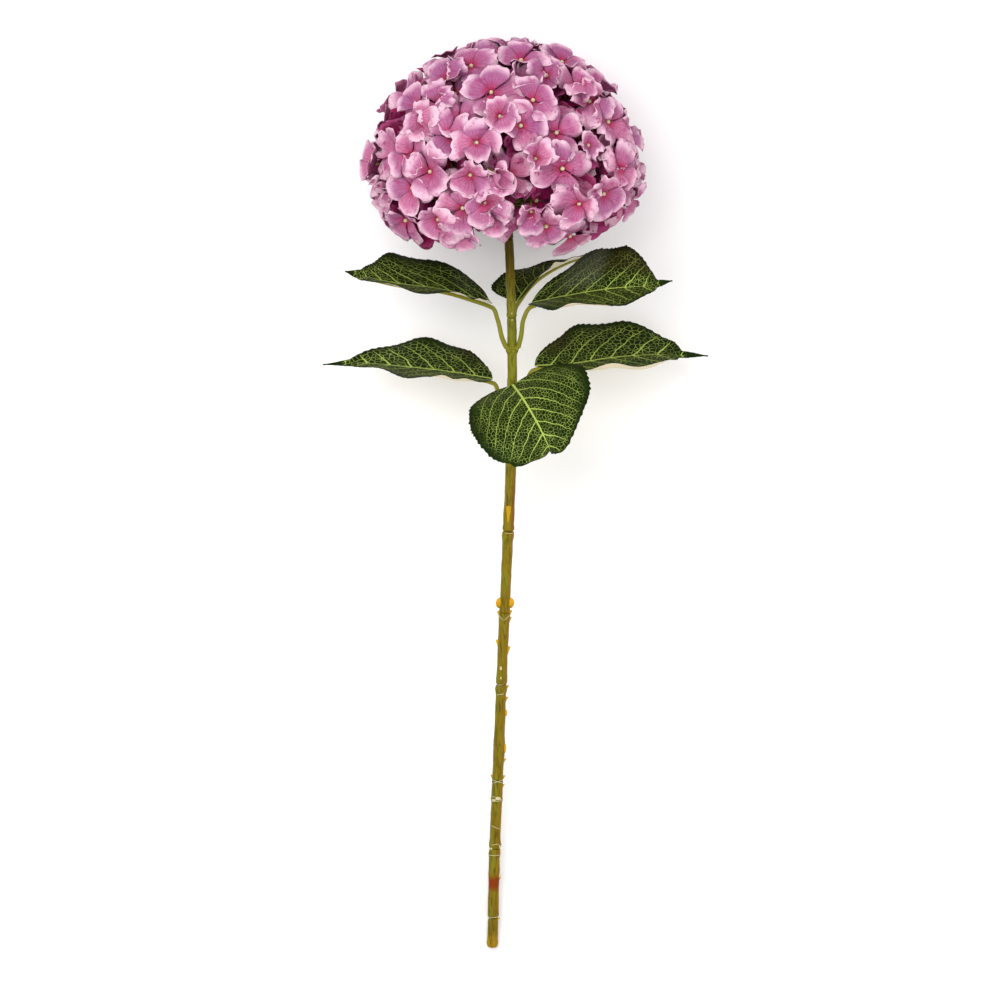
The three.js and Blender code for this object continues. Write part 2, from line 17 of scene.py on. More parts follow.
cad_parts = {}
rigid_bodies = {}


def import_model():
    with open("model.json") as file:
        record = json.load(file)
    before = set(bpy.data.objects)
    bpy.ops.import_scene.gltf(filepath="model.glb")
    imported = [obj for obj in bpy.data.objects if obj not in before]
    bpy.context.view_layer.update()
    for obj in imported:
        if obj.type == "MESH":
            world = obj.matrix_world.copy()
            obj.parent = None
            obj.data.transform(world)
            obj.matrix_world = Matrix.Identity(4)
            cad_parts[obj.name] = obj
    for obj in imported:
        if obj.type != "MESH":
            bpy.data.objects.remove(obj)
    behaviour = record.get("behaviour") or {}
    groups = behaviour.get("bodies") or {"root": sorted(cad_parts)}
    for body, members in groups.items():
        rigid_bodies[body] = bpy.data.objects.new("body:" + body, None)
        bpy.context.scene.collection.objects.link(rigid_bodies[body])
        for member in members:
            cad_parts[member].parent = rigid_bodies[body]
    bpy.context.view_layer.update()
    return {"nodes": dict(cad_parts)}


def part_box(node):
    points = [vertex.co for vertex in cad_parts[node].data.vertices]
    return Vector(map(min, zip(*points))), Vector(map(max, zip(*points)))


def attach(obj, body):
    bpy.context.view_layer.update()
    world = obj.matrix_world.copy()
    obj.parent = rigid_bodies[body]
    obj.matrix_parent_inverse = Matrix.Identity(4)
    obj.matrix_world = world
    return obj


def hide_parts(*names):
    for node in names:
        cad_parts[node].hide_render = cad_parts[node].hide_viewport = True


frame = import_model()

print("solids in the frame:", len(frame["nodes"]))

# %% [markdown]
# ## Tools that every piece uses
# Sizes are kept in millimetres, as a maker would give them, and turned into metres when a mesh is
# made. Colours are written as the hex values that an eye compares with a photograph, and one
# function turns them into the linear numbers that light is computed with. One more function adds a
# node to a tree.


# %% Small tools
def linear(hex_colour):
    """A colour given as sRGB hex, as linear red, green, blue and alpha."""
    channels = [int(hex_colour[i : i + 2], 16) / 255 for i in (1, 3, 5)]
    return [c / 12.92 if c <= 0.04045 else ((c + 0.055) / 1.055) ** 2.4 for c in channels] + [1]


def add(tree, kind, settings=None, inputs=None):
    """Adds a node to a tree, with its settings, and with its inputs linked or set."""
    node = tree.nodes.new(kind)
    for name, value in (settings or {}).items():
        setattr(node, name, value)
    for key, value in (inputs or {}).items():
        if isinstance(value, bpy.types.Node):
            value = value.outputs[0]
        if isinstance(value, bpy.types.NodeSocket):
            tree.links.new(value, node.inputs[key])
        else:
            node.inputs[key].default_value = value
    return node


def mix(low, high, share):
    """The value at a share of the way from low to high."""
    return low + (high - low) * share


def smooth_step(low, high, value):
    """0 below low, 1 above high, and a soft rise between."""
    share = min(max((value - low) / (high - low), 0), 1)
    return share * share * (3 - 2 * share)


def square(vector, along):
    """The part of a vector that stands square to a direction, made one unit long."""
    return (vector - along * vector.dot(along)).normalized()


def curve_through(points):
    """A smooth curve through points: two functions, for the place and the direction at a share."""
    knots = [Vector(p) for p in points]
    ends = [knots[0] * 2 - knots[1], *knots, knots[-1] * 2 - knots[-2]]

    def place(share):
        way = min(max(share, 0), 1) * (len(knots) - 1)
        i = min(int(way), len(knots) - 2)
        w = way - i
        a, b, c, d = ends[i : i + 4]
        bend = (2 * a - 5 * b + 4 * c - d) * w * w + (3 * b - 3 * c + d - a) * w**3
        return b + ((c - a) * w + bend) * 0.5

    def direction(share):
        step = 1e-4
        return (place(share + step) - place(share - step)).normalized()

    return place, direction


# %% [markdown]
# ## Where the stem runs
# The stem's axis is one smooth curve. It starts at the cut end, which lies on the floor, and rises
# to the middle of the head, because the round head keeps it up. The wire inside follows that
# curve, so the box of the wire in the frame says how far the frame's origin lies from the cut end.

# %% The stem's axis
GAP = 0.3  # millimetres between two solids that touch
HEAD_Y = 620  # from the cut end to the middle of the head
AXIS_END_Z = 3.65
AXIS_HEAD_Z = 100
AXIS_DRIFT = [0, 1.8, 5, 8, 11.5, 14.7, 15.9, 14.3, 10.1]  # sideways, at equal steps
WIRE_RADIUS = 1.5
WIRE_START = 9
WIRE_END = 590
RIGHT = Vector((1, 0, 0))

axis_steps = len(AXIS_DRIFT) - 1
axis_place, axis_direction = curve_through(
    [
        (x, i / axis_steps * HEAD_Y, mix(AXIS_END_Z, AXIS_HEAD_Z, i / axis_steps))
        for i, x in enumerate(AXIS_DRIFT)
    ]
)


def axis_at(y):
    """The place and the direction of the stem's axis, y millimetres from the cut end."""
    return axis_place(y / HEAD_Y), axis_direction(y / HEAD_Y)


def ring(centre, along, start, radius, sides):
    """Points of a ring round a centre, turning left about the direction "along"."""
    side = square(start, along)
    up = along.cross(side)
    turns = [2 * math.pi * i / sides for i in range(sides)]
    return [centre + side * radius * math.cos(t) + up * radius * math.sin(t) for t in turns]


def beside(y, turn, distance):
    """A point at a distance from the axis, at a turn in degrees: 0 is right and 90 is up."""
    point, along = axis_at(y)
    up = RIGHT.cross(along)
    angle = math.radians(turn)
    return point + (RIGHT * math.cos(angle) + up * math.sin(angle)) * distance


wire_ends = [ring(*axis_at(y), RIGHT, WIRE_RADIUS, 8) for y in (WIRE_START, WIRE_END)]
wire_low = Vector([min(p[k] for p in wire_ends[0] + wire_ends[1]) for k in range(3)])
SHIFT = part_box("stem_wire")[0] * 1000 - wire_low
print("the cut end lies at", [round(v, 1) for v in SHIFT], "mm from the frame's origin")


# %% Making a piece
def to_frame(point):
    """A point measured in millimetres from the cut end, in metres in the frame."""
    return (point + SHIFT) * 0.001


def make_mesh(name, points, faces, attributes=None):
    """A smooth mesh object from points in metres, with numbers that its material reads."""
    mesh = bpy.data.meshes.new(name)
    mesh.from_pydata([tuple(p) for p in points], [], faces)
    for key, values in (attributes or {}).items():
        kind = "FLOAT" if isinstance(values[0], (int, float)) else "FLOAT_VECTOR"
        field = "value" if kind == "FLOAT" else "vector"
        layer = mesh.attributes.new(key, kind, "POINT")
        flat = map(float, values) if kind == "FLOAT" else (c for v in values for c in v)
        layer.data.foreach_set(field, list(flat))
    if faces:
        mesh.shade_smooth()
    piece = bpy.data.objects.new(name, mesh)
    bpy.context.scene.collection.objects.link(piece)
    return piece


def finish_piece(piece, nodes=()):
    """The piece rides on the one body and stands for its solids."""
    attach(piece, "root")
    if nodes:
        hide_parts(*nodes)
    print(f"{piece.name}: {len(piece.data.polygons)} faces")


def run_tree(source, name, tree, values):
    """Runs a Geometry Nodes tree on a source mesh and keeps the result as a plain mesh object."""
    modifier = source.modifiers.new("tree", "NODES")
    modifier.node_group = tree
    for item in tree.interface.items_tree:
        if item.in_out == "INPUT" and item.name in values:
            modifier[item.identifier] = values[item.name]
    source.update_tag()
    shape = source.evaluated_get(bpy.context.evaluated_depsgraph_get())
    mesh = bpy.data.meshes.new_from_object(shape)
    mesh.name = name
    piece = bpy.data.objects.new(name, mesh)
    bpy.context.scene.collection.objects.link(piece)
    bpy.data.objects.remove(source)
    return piece


# %% [markdown]
# ## Camera, floor and light
# The photograph looks at the stem from far away, so the camera stands far off with a long lens and
# the stem keeps its proportions. Two big soft lamps above and a pale world give the flat studio
# light.

# %% Camera, floor and light
MM_PER_PIXEL = 0.8  # the frame is 1000 pixels wide, so this is also its width in metres
HALF_FRAME = 500  # pixels
END_PIXEL = (492.4, 950.5)  # the middle of the cut end in the photograph
CAMERA_HEIGHT = 10.0  # metres
FOCUS_HEIGHT = 70  # millimetres, where a pixel measures MM_PER_PIXEL
SENSOR = 36
FAR_ENOUGH = 100  # metres that the camera sees
FLOOR_HALF = 4.0  # metres

centre_x = (HALF_FRAME - END_PIXEL[0]) * MM_PER_PIXEL
centre_y = (END_PIXEL[1] - HALF_FRAME) * MM_PER_PIXEL
focus = to_frame(Vector((centre_x, centre_y, FOCUS_HEIGHT)))
camera = bpy.data.objects.new("camera", bpy.data.cameras.new("camera"))
camera.location = focus + Vector((0, 0, CAMERA_HEIGHT))
camera.data.sensor_width = SENSOR
camera.data.lens = SENSOR * CAMERA_HEIGHT / MM_PER_PIXEL
camera.data.clip_end = FAR_ENOUGH
bpy.context.scene.collection.objects.link(camera)
bpy.context.scene.camera = camera
bpy.context.scene.view_settings.view_transform = "Standard"

corners = [(x * FLOOR_HALF, y * FLOOR_HALF, 0) for x, y in ((-1, -1), (1, -1), (1, 1), (-1, 1))]
floor = make_mesh("floor", corners, [(0, 1, 2, 3)])


def lamp(name, place, size, power):
    """A square area lamp that looks at the middle of the stem."""
    light = bpy.data.lights.new(name, "AREA")
    light.size = size
    light.energy = power
    holder = bpy.data.objects.new(name, light)
    holder.location = place
    holder.rotation_euler = (-Vector(place)).to_track_quat("-Z", "Y").to_euler()
    bpy.context.scene.collection.objects.link(holder)


lamp("key_lamp", place=(-0.7, 0.8, 2.1), size=1.4, power=20)
lamp("top_lamp", place=(0.3, -0.2, 2.6), size=2.6, power=19)

world = bpy.data.worlds.new("studio")
world.use_nodes = True
bpy.context.scene.world = world
background = world.node_tree.nodes["Background"]
background.inputs["Color"].default_value = linear("#ffffff")
background.inputs["Strength"].default_value = 0.9
print("camera lens", camera.data.lens, "mm")

# %% [markdown]
# ## Petal fabric
# The petals are woven polyester, printed and then pressed in a hot mould. The print is what the
# eye reads: a lilac pink ground that pales to the cut edge, a coral flush at the middle of the
# floret, and fine coral veins that fan out. Cloth is matt, with a little sheen where it is seen
# edge on, so its colours are kept strong and its shine low. The colours are laid in coats, as the
# printer laid the print: each coat is a share from 0 to 1 and a colour, and a loop lays one over
# the other. The duller mauve that grows towards the top of the head is painted shade, and so are
# the darker colours of the inner petals.

# %% Petal fabric
HEAD_Y_IN_FRAME = to_frame(axis_at(HEAD_Y)[0]).y
HEAD_SHADE = 0.1  # metres up the head over which the painted shade grows
BLOTCHES = 1 / 0.006  # the colour deepens at random, in blotches of about 6 mm
CREASES = 1 / 0.0028  # the press left creases of about 3 mm
VEIN_STEP = 0.15  # half of the step from vein to vein, in shares of half the petal's width

# settings that many nodes share
SMOOTH = {"interpolation_type": "SMOOTHSTEP"}
COLOUR = {"data_type": "RGBA"}
TIMES = {"operation": "MULTIPLY"}
TIMES_PLUS = {"operation": "MULTIPLY_ADD"}
TIMES_PLUS_CLAMPED = {"operation": "MULTIPLY_ADD", "use_clamp": True}
FOLDED = {"operation": "PINGPONG"}


def new_material(name, roughness, specular):
    """A material with its shader, and the uniform values set on the shader's own sockets."""
    material = bpy.data.materials.new(name)
    material.use_nodes = True
    shader = material.node_tree.nodes["Principled BSDF"]
    shader.inputs["Roughness"].default_value = roughness
    shader.inputs["Specular IOR Level"].default_value = specular
    print("material", name)
    return material, material.node_tree, shader


def end_material(tree, shader, colour, height, strength, depth):
    """Gives the shader its colour, and a relief from a height, with its depth in metres."""
    relief = add(
        tree, "ShaderNodeBump", {}, {"Height": height, "Strength": strength, "Distance": depth}
    )
    tree.links.new(colour, shader.inputs["Base Color"])
    tree.links.new(relief.outputs[0], shader.inputs["Normal"])


def petal_fabric(name, ground, edge, flush, vein, drift_and_shade, back, deep):
    """Printed polyester for petals, in the colours of its print and of painted shade."""
    material, tree, shader = new_material(name, roughness=0.85, specular=0.08)
    shader.inputs["Sheen Weight"].default_value = 0.05
    across, along, tint, under = [
        add(tree, "ShaderNodeAttribute", {"attribute_name": key}).outputs["Fac"]
        for key in ("across", "along", "tint", "under")
    ]
    place = add(tree, "ShaderNodeTexCoord").outputs["Object"]
    blotch = {"Vector": place, "Scale": BLOTCHES, "Detail": 2.0}
    blotch = add(tree, "ShaderNodeTexNoise", {}, blotch)
    creases = {"Vector": place, "Scale": CREASES, "Detail": 3.0, "Distortion": 0.8}
    creases = add(tree, "ShaderNodeTexNoise", {}, creases)
    # the colour drifts from petal to petal; the duller mauve up the head is painted shade
    up_head = add(tree, "ShaderNodeSeparateXYZ", {}, {0: place}).outputs[1]
    on_head = {0: up_head, 1: HEAD_Y_IN_FRAME, 2: HEAD_Y_IN_FRAME + HEAD_SHADE, 3: 0.0, 4: 0.55}
    shade_up_head = add(tree, "ShaderNodeMapRange", {}, on_head)
    drift = add(tree, "ShaderNodeMath", TIMES_PLUS_CLAMPED, {0: tint, 1: 0.8, 2: shade_up_head})
    # veins fan out: they stand at equal steps across and wander a little
    cloth = add(tree, "ShaderNodeCombineXYZ", {}, {0: across, 1: along, 2: tint})
    wander = add(tree, "ShaderNodeTexNoise", {}, {"Vector": cloth, "Scale": 2.0, "Detail": 1.0})
    shifted = add(tree, "ShaderNodeMath", TIMES_PLUS, {0: wander, 1: 0.14, 2: across})
    from_vein = add(tree, "ShaderNodeMath", FOLDED, {0: shifted, 1: VEIN_STEP})
    # each mark: what it follows, where it starts, where it is full, and how strong it is there
    rim, line, fade, middle, deeper = [
        add(tree, "ShaderNodeMapRange", SMOOTH, {0: follows, 1: start, 2: full, 4: most})
        for follows, start, full, most in (
            (along, 0.58, 1.03, 0.9),  # the pale cut edge
            (from_vein, 0.06, 0.0, 1.0),
            (along, 0.85, 0.15, 0.9),  # the veins fade towards the edge
            (along, 0.42, 0.05, 0.9),  # the flush at the middle of the floret
            (blotch, 0.5, 0.75, 0.6),
        )
    ]
    veins = add(tree, "ShaderNodeMath", TIMES, {0: line, 1: fade})
    backed = add(tree, "ShaderNodeMath", TIMES, {0: under, 1: 0.75})  # the back takes less print
    colour = linear(ground)
    shares = (drift, rim, veins, middle, backed, deeper)
    for share, coat in zip(shares, (drift_and_shade, edge, vein, flush, back, deep)):
        coat = {0: share, 6: colour, 7: linear(coat)}
        colour = add(tree, "ShaderNodeMix", COLOUR, coat).outputs[2]
    end_material(tree, shader, colour, creases, strength=0.8, depth=0.0024)
    return material


petal_cloth = petal_fabric(
    "printed_polyester_petals",
    *("#c97a9d", "#f6cddf", "#b32a58", "#ad2c58", "#a4648f", "#a64a7a", "#a63c78"),
)
# the inner petals take darker, deeper colours than the outer ones: painted shade deep in the head
painted_shade_cloth = petal_fabric(
    "polyester_inner_petals_painted_shade",
    *("#a6205c", "#c0558a", "#8e0636", "#960e3e", "#881660", "#8e1650", "#7e0a42"),
)

# %% [markdown]
# ## Petal shapes
# A hydrangea floret has four broad petals. Each is die cut, so its outline is smooth, and then
# pressed, so it cups, ripples and rolls at its rim. A dozen such petals are worked out by one rule
# with seeded draws: a fan of points that opens from a narrow claw, lifted by a cup, a ripple that
# grows towards the rim, a twist and a rolled edge. Geometry Nodes then scatters them, which keeps
# the head light. The florets that face the camera use petals with more points, because their rims
# are seen best.

# %% Petal shapes
PETAL_KINDS = 12
PETAL_THICKNESS = 0.014  # share of the petal's length, about 0.35 mm
PETAL_OPENING = 45  # degrees to either side of the petal's middle line, where it is widest
PETAL_WIDEST = 0.46  # share of the petal's length where it is widest
PETAL_SPREAD = 0.84  # how slowly it narrows from there
PETAL_CLAW = 0.06  # share of its length where the claw starts
ROLL_START = 0.68  # share of its length from which its rim rolls
PETAL_SEED = 11
COARSE = 5  # squares along and across a petal that is repeated hundreds of times
FINE = 9  # the same for the petals of the front florets


def petal_surface(draw):
    """A function from across (-1 to 1) and along (0 to 1) to a point of one petal of length 1."""
    cup = draw.uniform(-0.12, 0.3)
    ripple = draw.uniform(0.05, 0.16)
    waves = draw.uniform(1.2, 2.6)
    phase = draw.uniform(0, 2 * math.pi)
    twist = draw.uniform(-0.14, 0.14)
    gutter = draw.uniform(-0.26, 0.32)
    roll = draw.uniform(-2.6, 1.7)
    notch = draw.uniform(-0.02, 0.06)
    lobe = draw.uniform(-0.07, 0.07)
    crinkle = draw.uniform(0.01, 0.03)

    def point(across, along):
        opening = 1 - ((along - PETAL_WIDEST) / PETAL_SPREAD) ** 2
        angle = across * math.radians(PETAL_OPENING) * opening
        rim = 1 - 0.1 * abs(across) ** 2.6 + lobe * across
        rim -= notch * math.exp(-((across / 0.25) ** 2))
        rim *= 1 + crinkle * math.sin(6 * across + phase)
        distance = along * rim
        lift = cup * along**2 + gutter * across**2 * along + twist * across * along
        lift += ripple * along**2 * math.sin(math.pi * waves * across + phase)
        lift += crinkle * along**3 * math.sin(9 * across + 5 * along + 2 * phase)
        lift += roll * max(along - ROLL_START, 0) ** 2 * (0.5 + 0.5 * math.cos(across * 2 + phase))
        return Vector((distance * math.sin(angle), distance * math.cos(angle), lift))

    return point


def two_sheets(surface, thickness):
    """The points of an upper and a lower sheet beside a surface of points[row][column]."""
    rows, columns = len(surface) - 1, len(surface[0]) - 1
    upper, lower = [], []
    for i in range(rows + 1):
        for j in range(columns + 1):
            along = surface[min(i + 1, rows)][j] - surface[max(i - 1, 0)][j]
            across = surface[i][min(j + 1, columns)] - surface[i][max(j - 1, 0)]
            step = across.cross(along).normalized() * thickness / 2
            upper.append(surface[i][j] + step)
            lower.append(surface[i][j] - step)
    return upper, lower


def shell(surface, columns, rows, thickness):
    """A thin closed shell on both sides of a surface of points[row][column]."""
    upper, lower = two_sheets(surface, thickness)
    wide = columns + 1
    count = len(upper)
    faces = []
    for i in range(rows):
        for j in range(columns):
            a = i * wide + j
            b, c, d = a + 1, a + wide + 1, a + wide
            faces.append((a, b, c, d))
            faces.append((count + d, count + c, count + b, count + a))
    rim = list(range(columns))
    rim += [i * wide + columns for i in range(rows)]
    rim += [rows * wide + columns - j for j in range(columns)]
    rim += [(rows - i) * wide for i in range(rows)]
    for a, b in zip(rim, rim[1:] + rim[:1]):
        faces.append((a, count + a, count + b, b))
    return upper + lower, faces


def petal_collection(name, squares):
    """A collection with each kind of petal, in so many squares along and across."""
    draw = random.Random(PETAL_SEED)
    collection = bpy.data.collections.new(name)
    bpy.context.scene.collection.children.link(collection)
    for kind in range(PETAL_KINDS):
        point = petal_surface(draw)
        stations = [mix(PETAL_CLAW, 1, i / squares) for i in range(squares + 1)]
        columns = [2 * j / squares - 1 for j in range(squares + 1)]
        grid = [[point(a, s) for a in columns] for s in stations]
        points, faces = shell(grid, squares, squares, PETAL_THICKNESS)
        cells = [(a, s) for s in stations for a in columns]
        marks = {"across": [a for a, _ in cells] * 2, "along": [s for _, s in cells] * 2}
        marks["under"] = [0.0] * len(cells) + [1.0] * len(cells)
        petal = make_mesh(f"{name}_{kind:02d}", points, faces, marks)
        bpy.context.scene.collection.objects.unlink(petal)
        collection.objects.link(petal)
    print(f"{name}: {PETAL_KINDS} kinds of {len(faces)} faces")
    return collection


coarse_petals = petal_collection("coarse_petal", COARSE)
fine_petals = petal_collection("fine_petal", FINE)

# %% [markdown]
# ## Where the florets stand
# The florets sit on a dome, rounded above and flatter below, turned by the golden angle from one
# to the next. That is how a real head packs them, and the solids in the frame follow the same rule
# with the same seed, so each floret here stands on its own pedicel in the frame.

# %% The dome
FLORETS = 88
DOME_RADIUS = 107
DOME_CROWN = 104  # from the widest ring up to the top
DOME_SKIRT = 64  # from the widest ring down to where the underside would close
DOME_LAST_ANGLE = 130  # the florets stop at this angle from the top
FLORET_RADIUS = 24.5
LAYERS = 3
LAYER_STEP = 6.5
LAYER_LOOSENESS = 1.5
TILT = 7
SIZES = (0.94, 1.06)
PETALS = 4
SEED = 7
GOLDEN_TURN = math.pi * (3 - math.sqrt(5))

head_middle, head_along = axis_at(HEAD_Y)
head_right = square(RIGHT, head_along)
head_up = head_right.cross(head_along)


def head_point(radius, height, turn):
    """A point of the head from its radius, its height up the axis from the middle, and its turn."""
    side = head_right * math.cos(turn) + head_up * math.sin(turn)
    return head_middle + side * radius + head_along * height


def draws(seed):
    """A repeatable stream of numbers from 0 to 1, the same one that set the solids."""
    state = seed
    while True:
        state = (state * 1664525 + 1013904223) % 2**32
        yield state / 2**32


def dome_profile(angle):
    """Radius and height of the dome at an angle from its top."""
    reach = DOME_CROWN if angle < math.pi / 2 else DOME_SKIRT
    return DOME_RADIUS * math.sin(angle), reach * math.cos(angle)


def dome_angles(count):
    """Angles from the top that share the dome's area evenly."""
    steps = 400
    last = math.radians(DOME_LAST_ANGLE)
    area = [0]
    for i in range(1, steps + 1):
        (ra, ha), (rb, hb) = [dome_profile(last * k / steps) for k in (i - 1, i)]
        area.append(area[-1] + math.hypot(rb - ra, hb - ha) * (ra + rb))
    angles = []
    for k in range(count):
        wanted = area[-1] * (k + 0.5) / count
        i = next(i for i, value in enumerate(area) if value >= wanted)
        angles.append(last * (i - (area[i] - wanted) / (area[i] - area[i - 1])) / steps)
    return angles


print("angle of the middle floret:", round(math.degrees(dome_angles(FLORETS)[FLORETS // 2])))


# %% The florets of the solids
def layers_apart(points):
    """A layer for each point, the one whose earlier points are the furthest away."""
    layers = []
    for p in points:
        room = [math.inf] * LAYERS
        for layer, other in zip(layers, points):
            room[layer] = min(room[layer], (other - p).length)
        layers.append(room.index(max(room)))
    return layers


def floret_places():
    """Each floret's middle, face, side, spin and size, by the rule and the seed of the solids."""
    draw = draws(SEED)
    angles = dome_angles(FLORETS)
    middles = [head_point(*dome_profile(a), k * GOLDEN_TURN) for k, a in enumerate(angles)]
    layers = layers_apart(middles)
    places = []
    for k, angle in enumerate(angles):
        turn = k * GOLDEN_TURN
        radius, height = dome_profile(angle)
        steep = DOME_CROWN if angle < math.pi / 2 else DOME_SKIRT
        slope = math.atan2(height / steep**2, radius / DOME_RADIUS**2)
        out = head_point(math.cos(slope), math.sin(slope), turn) - head_middle
        side = head_point(-math.sin(slope), math.cos(slope), turn) - head_middle
        across = out.cross(side)
        lean_side, lean_across = [math.radians(TILT) * (2 * next(draw) - 1) for _ in range(2)]
        face = (out + side * lean_side + across * lean_across).normalized()
        depth = LAYER_STEP * layers[k] + LAYER_LOOSENESS * next(draw)
        spin = 2 * math.pi * next(draw)
        size = FLORET_RADIUS * mix(*SIZES, next(draw))
        middle = head_point(radius, height, turn) - out * depth
        places.append({"middle": middle, "face": face, "side": side, "spin": spin, "size": size})
    return places


florets = floret_places()
print("florets on the dome:", len(florets))

# %% [markdown]
# The florets of the real thing nod and cup more than solids of few faces can, so each one leans
# some more here, and its petals open by its own angle. The florets at the front stand where the
# photograph shows them. Behind them stand smaller ones, deeper in the head, that fill the gaps
# with petals in shadow, as on the real head.

# %% Outer and inner florets
LOOK_SEED = 23
OUTER_SCALE = 0.97  # of the dome
OUTER_LEAN = 20  # degrees more, either way
OUTER_OPENING = (4, 48)  # degrees that the petals of a floret lift off its plane
INNER_FLORETS = 96
INNER_SCALE = 0.8
INNER_LEAN = 38
INNER_RADIUS = 23
INNER_SIZES = (0.85, 1.1)
INNER_TURN = 1.1  # the first inner floret is turned by this from the first outer one
INNER_OPENING = (10, 50)
FRONT_ROOM = 15  # millimetres round a front floret where no other floret stands
FRONT_DEPTH = 3.5
FRONT_TOP = 260  # the height where the search for a front floret's place starts
FRONT_LOW = 90
FRONT_STEP = 0.5

look = random.Random(LOOK_SEED)


def leaned(face, side, most):
    """A face turned by a random lean of up to "most" degrees."""
    across = face.cross(side)
    angle = look.uniform(0, 2 * math.pi)
    lean = math.tan(math.radians(most) * math.sqrt(look.random()))
    return (face + (side * math.cos(angle) + across * math.sin(angle)) * lean).normalized()


# Each front floret: its middle in pixels of the photograph, the way it faces to the right and up
# (1 is edge on), the lift of its petals and the way its first petal points, in degrees, and its
# size.
FRONT_FLORETS = [
    (491, 96, -0.05, 0.30, 12, 80, 1.08), (471, 68, -0.15, 0.45, 20, 112, 1.02),
    (440, 107, -0.42, 0.32, 34, 118, 1.0), (424, 126, -0.58, 0.15, 44, 100, 0.92),
    (500, 121, 0.10, 0.10, 42, 20, 0.9), (521, 130, 0.18, 0.12, 26, 100, 0.98),
    (556, 137, 0.05, 0.05, 10, 124, 1.02), (562, 173, 0.10, -0.10, 6, 12, 1.06),
    (477, 147, 0.08, 0.10, 40, 5, 1.08), (470, 180, -0.20, -0.32, 50, 60, 1.04),
    (495, 178, 0.28, -0.30, 52, 30, 0.98), (430, 176, -0.30, -0.18, 38, 70, 1.06),
    (590, 104, 0.48, 0.36, 26, 85, 1.0), (576, 90, 0.28, 0.52, 32, 60, 0.96),
    (578, 208, -0.08, -0.42, 46, 75, 1.14), (438, 224, -0.28, -0.62, 32, 50, 1.0),
    (463, 213, -0.10, -0.50, 18, 80, 1.04), (536, 163, 0.42, 0.15, 58, 35, 1.0),
    (588, 149, 0.30, 0.10, 55, 45, 0.7), (412, 192, -0.55, -0.22, 26, 95, 1.04),
    (618, 172, 0.68, 0.05, 34, 60, 1.0), (609, 124, 0.62, 0.30, 24, 75, 1.0),
    (531, 216, 0.05, -0.52, 44, 85, 0.96), (546, 231, 0.12, -0.66, 28, 60, 1.0),
    (570, 240, 0.15, -0.78, 30, 80, 0.98), (412, 158, -0.55, 0.08, 26, 30, 1.0),
    (521, 62, 0.02, 0.62, 36, 90, 0.96), (546, 78, 0.12, 0.45, 30, 70, 0.96),
    (562, 63, 0.25, 0.62, 30, 95, 0.98), (604, 198, 0.50, -0.42, 34, 70, 1.04),
    (452, 141, -0.20, 0.10, 36, 130, 1.02), (533, 104, 0.12, 0.25, 30, 110, 0.98),
    (448, 80, -0.30, 0.60, 26, 125, 0.98), (486, 208, 0.12, -0.52, 24, 70, 1.0),
]


def dome_share(reach, radius, crown, skirt):
    """How far out a reach from the head's middle goes, where 1 is the surface of a dome."""
    up_axis = reach.dot(head_along)
    from_axis = (reach - head_along * up_axis).length
    return math.hypot(from_axis / radius, up_axis / (crown if up_axis > 0 else skirt))


def front_florets():
    """Florets on the dome under their places in the photograph."""
    places = []
    for px, py, to_right, to_up, opening, spin, size in FRONT_FLORETS:
        x = (px - END_PIXEL[0]) * MM_PER_PIXEL
        y = (END_PIXEL[1] - py) * MM_PER_PIXEL
        height = FRONT_TOP
        while height > FRONT_LOW:
            reach = Vector((x, y, height)) - head_middle
            if dome_share(reach, DOME_RADIUS, DOME_CROWN, DOME_SKIRT) < 1:
                break
            height -= FRONT_STEP
        to_viewer = math.sqrt(max(1 - to_right**2 - to_up**2, 0.05))
        face = Vector((to_right, to_up, to_viewer)).normalized()
        places.append(
            {
                "middle": Vector((x, y, height)) - face * FRONT_DEPTH,
                "face": face,
                "side": RIGHT,
                "spin": math.radians(spin - 90),
                "size": FLORET_RADIUS * size,
                "opening": opening,
            }
        )
    return sorted(places, key=lambda place: place["opening"])


def inner_florets():
    """Smaller florets on a smaller dome, between the pedicels of the outer ones."""
    places = []
    for k, angle in enumerate(dome_angles(INNER_FLORETS)):
        turn = k * GOLDEN_TURN + INNER_TURN
        radius, height = dome_profile(angle)
        out = (head_point(radius, height, turn) - head_middle).normalized()
        side = head_along.cross(out).normalized()
        places.append(
            {
                "middle": head_point(radius * INNER_SCALE, height * INNER_SCALE, turn),
                "face": leaned(out, side, INNER_LEAN),
                "side": side,
                "spin": look.uniform(0, 2 * math.pi),
                "size": INNER_RADIUS * look.uniform(*INNER_SIZES),
                "opening": look.uniform(*INNER_OPENING),
            }
        )
    return places


front = front_florets()
inner = inner_florets()
outer = []
for place in florets:
    middle = head_middle + (place["middle"] - head_middle) * OUTER_SCALE
    if all((middle - other["middle"]).length > FRONT_ROOM for other in front):
        face = leaned(place["face"], place["side"], OUTER_LEAN)
        outer.append(dict(place, middle=middle, face=face, opening=look.uniform(*OUTER_OPENING)))
outer.sort(key=lambda place: (place["middle"] - head_middle).length)
print("front, outer and inner florets:", len(front), len(outer), len(inner))

# %% Petals of the florets
LIFT_LOOSENESS = 12  # degrees that a petal's lift differs from its floret's
TURN_LOOSENESS = 7  # degrees that it is turned in its floret
PETAL_SIZES = (0.92, 1.06)
PETAL_STEP = 0.25  # millimetres that every second petal lies above its neighbours


